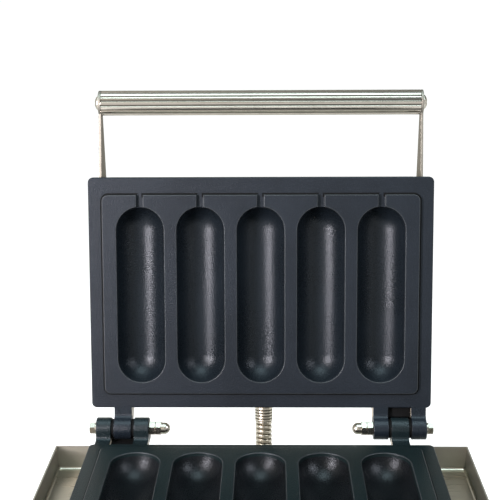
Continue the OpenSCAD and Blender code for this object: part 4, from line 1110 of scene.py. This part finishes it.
def tray_bend(r=2.0, corner=3.0):
    """Rolled fillet between the floor and the walls of the drip tray."""
    form = Form()
    rings = []
    for a in quarter(8):
        outline = rounded_rect(2 * TRAY_X, -TRAY_Y, TRAY_Y, corner, r * cos(a) - r)
        rings.append([(x, y, TRAY_Z + r - r * sin(a)) for x, y in outline])
    form.loft(rings)
    added("tray_bend", form, world, [TRAY], 60, "base")


# Sheet metal and mouldings that keep the solid's form, with rounded edges
refined("body_shell", SHEET_X, 0.5)
refined("tray_floor", TRAY, 0.4)
tray_bend()
refined("base_plate", SHEET_X, 0.4)
refined("control_panel", PANEL, 0.35)
refined("upper_cover", SHEET_X, 0.7, 3)
refined("left_arm", ARM, 0.35)
refined("right_arm", ARM, 0.35)
refined("mains_gland", BLACK, 0.5)
refined("switch_housing", BLACK, 0.4)
refined("switch_rocker", RED, 0.4)
refined("lamp_bezels", HARDWARE, 0.4)


# Controls and feet

def knob(node, x):
    """Knob with a ribbed grip and a pointer bar, turned to its off mark."""
    form = Form()
    place = on_front(x, PANEL_Y - 0.3, PANEL_Z)
    skirt = [(7.0, 0.0), (KNOB_R - 0.4, 0.0), (KNOB_R, 0.4), (KNOB_R, SKIRT_H - 1.6)]
    skirt += [(KNOB_R - 0.5, SKIRT_H - 0.6), (KNOB_R - 1.6, SKIRT_H), (GRIP_R - 1, SKIRT_H)]
    form.lathe(skirt, place, 72)
    angles = [2 * pi * k / 144 for k in range(144)]
    ribbed = [GRIP_R - RIB_DEPTH * (1 - cos(RIBS * a)) for a in angles]
    levels = ((0.0, SKIRT_H - 0.5), (0.0, KNOB_H - 1.5), (0.3, KNOB_H - 0.5), (1.3, KNOB_H))
    form.solid([[place(*polar(r - inset, a), h) for r, a in zip(ribbed, angles)] for inset, h in levels])
    half, top = GRIP_R / 3, KNOB_R - 2
    bar = [(half, -GRIP_R + 1.2), (half, top - half)] + arc((0, top - half), half, 0, pi, 12)[1:]
    form.prism(bar + [(-half, -GRIP_R + 1.2)], SKIRT_H - 0.5, KNOB_H - 0.05, 0.8, place)
    finished(node, form, world, [BLACK], 40)
    line = Form()
    pointer = [(0.7, 1.0), (0.7, top - 1.2), (-0.7, top - 1.2), (-0.7, 1.0)]
    line.prism(pointer, KNOB_H - 0.3, KNOB_H, 0.1, place)
    added(node + "_pointer", line, world, [WHITE_MARK], 40, BODY_OF[node])


def dial_marks(name, x, sweep, count):
    """Ticks on the panel round a knob, from its off mark clockwise; every other one is long."""
    form = Form()
    place = on_front(x, PANEL_Y + 0.02, PANEL_Z)
    for k in range(count + 1):
        a = pi / 2 - radians(sweep) * k / count
        reach, half = TICKS[k % 2]
        r0, r1 = KNOB_R + TICK_GAP, KNOB_R + reach
        u, v = Vector((cos(a), sin(a))), Vector((-sin(a), cos(a)))
        corners = [u * r0 - v * half, u * r1 - v * half, u * r1 + v * half, u * r0 + v * half]
        form.prism([tuple(c) for c in corners], 0.0, PRINT_H, PRINT_EDGE, place)
    added(name, form, world, [DARK_MARK], 40, "base")


knob("thermostat_knob", -KNOB_X)
knob("timer_knob", KNOB_X)
dial_marks("thermostat_marks", -KNOB_X, 270, 10)
dial_marks("timer_marks", KNOB_X, 300, 10)


def rocker_marks():
    """A bar and a ring on the two faces of the rocker."""
    form = Form()
    bar = [(0.4, -2.0), (0.4, 2.0), (-0.4, 2.0), (-0.4, -2.0)]
    ring = [(1.5, -0.1), (2.2, -0.1), (2.2, PRINT_H), (1.5, PRINT_H)]
    c, s = cos(ROCKER_TILT), sin(ROCKER_TILT)
    for side in (-1, 1):
        along, normal = Vector((-1.2, 9.4 * side)).normalized(), Vector((-9.4, -1.2 * side)).normalized()
        middle = Vector((-5.0, 4.9 * side))

        def place(u, w, h):
            p = middle + along * w * side + normal * h
            return (u, ROCKER_Y + (p.x * c - p.y * s), ROCKER_Z + (p.x * s + p.y * c))

        if side > 0:
            form.prism(bar, -0.1, PRINT_H, PRINT_EDGE, place)
        else:
            form.ring_lathe(ring, place, 32)
    added("rocker_marks", form, world, [WHITE_MARK], 40, "rocker")


rocker_marks()


def lamp(node, x, look):
    """Domed lens with a stepped rim."""
    form = Form()
    dome = [(4.0 * cos(a), 3.4 + 1.5 * sin(a)) for a in quarter(8)]
    form.lathe([(4.4, -11.9), (4.4, 2.9), (4.2, 3.2)] + dome, on_front(x, PANEL_Y, LAMP_Z), 40)
    finished(node, form, world, [look], 30)


lamp("power_lamp", -LAMP_X, GREEN)
lamp("heat_lamp", LAMP_X, AMBER)


def feet():
    form = Form()
    for x in (-FOOT_X, FOOT_X):
        for y in (-FOOT_Y, FOOT_Y):
            form.ring_lathe(FOOT_PROFILE, on_top(x, y), 56)
    finished("feet", form, world, [RUBBER], 35)


feet()


# Stage and light, in metres

FLOOR_GREY, FLOOR_GLOW = (0.55, 0.55, 0.55), 0.75
LOW_SKY, LEFT_SKY, RIGHT_SKY = (0.55, 0.51, 0.44), (1.0, 0.92, 0.78), (0.14, 0.165, 0.17)
BACK_LEFT, BACK_RIGHT, TOP_SKY = (1.0, 0.97, 0.90), (0.25, 0.26, 0.23), (0.45, 0.52, 0.54)


def make_floor():
    """Wide floor that curves up into a low wall far off, so that the pale ground has no edge."""
    mesh = bpy.data.meshes.new("floor")
    sides, steps, reach, curve = 48, 10, 24.0, 5.0
    points, faces = [], [tuple(range(sides))]
    for turn in quarter(steps):
        ring = circle(reach + curve * sin(turn), sides)
        points.extend((x, y, curve * (1 - cos(turn))) for x, y in ring)
    for k in range(0, steps * sides, sides):
        ends = [(k + i, k + (i + 1) % sides) for i in range(sides)]
        faces.extend((a, b, b + sides, a + sides) for a, b in ends)
    mesh.from_pydata(points, [], faces)
    for face in mesh.polygons:
        face.use_smooth = face.index > 0
    paper = bpy.data.materials.new("floor_paper")
    paper.use_nodes = True
    paper.node_tree.nodes.clear()
    nodes = Nodes(paper.node_tree)
    path = nodes.new("ShaderNodeLightPath").outputs
    seen = path["Is Camera Ray"]
    for name in ("Is Glossy Ray", "Is Transmission Ray"):
        seen = nodes.combine(seen, path[name], "MAXIMUM")
    glow = nodes.new("ShaderNodeEmission", {"Strength": nodes.combine(seen, FLOOR_GLOW, "MULTIPLY")})
    diffuse = nodes.new("ShaderNodeBsdfDiffuse", {"Color": FLOOR_GREY})
    both = nodes.new("ShaderNodeAddShader", {0: diffuse.outputs[0], 1: glow.outputs[0]})
    nodes.new("ShaderNodeOutputMaterial", {"Surface": both.outputs[0]})
    mesh.materials.append(paper)
    linked("floor", mesh)


def area_light(name, at, target, size, power, colour, spread):
    data = bpy.data.lights.new(name, "AREA")
    data.shape = "RECTANGLE"
    data.size, data.size_y = size
    data.energy = power
    data.color = colour
    data.spread = radians(spread)
    obj = linked(name, data)
    obj.location = at
    obj.rotation_euler = (Vector(target) - Vector(at)).to_track_quat("-Z", "Y").to_euler()


def make_world():
    """Studio round the part: a beige room in front, brighter on the left, and a cool ceiling."""
    studio = bpy.data.worlds.new("studio")
    bpy.context.scene.world = studio
    studio.use_nodes = True
    nodes = Nodes(studio.node_tree)
    direction = nodes.new("ShaderNodeTexCoord").outputs["Generated"]
    x, y, z = nodes.new("ShaderNodeSeparateXYZ", {0: direction}).outputs
    front = nodes.ramp(z, 0.10, 0.35, LOW_SKY, nodes.ramp(x, -0.15, 0.15, LEFT_SKY, RIGHT_SKY))
    behind = nodes.ramp(x, -0.20, 0.25, BACK_LEFT, BACK_RIGHT)
    around = nodes.ramp(y, -0.3, 0.4, front, behind)
    background = nodes.tree.nodes["Background"]
    nodes.feed(background.inputs["Color"], nodes.ramp(z, 0.55, 0.85, around, TOP_SKY))
    background.inputs["Strength"].default_value = 1.0


make_floor()
make_world()
area_light("key", (-0.68, -0.61, 0.53), (-0.08, 0.13, 0.34), (0.17, 0.64), 4.9, (1.0, 0.92, 0.935), 75)
area_light("fill", (1.0, -0.8, 0.6), (0, 0.1, 0.2), (0.3, 0.5), 0.4, (1.0, 0.96, 0.94), 180)
area_light("ceiling", (0, -0.1, 1.3), (0, -0.1, 0), (0.7, 0.7), 8.0, (0.77, 0.98, 1.0), 180)
area_light("high", (0.85, -0.35, 0.80), (0, 0.1, 0.15), (0.40, 0.40), 1.7, (0.94, 0.95, 1.0), 90)

bpy.context.scene.view_settings.view_transform = "Standard"
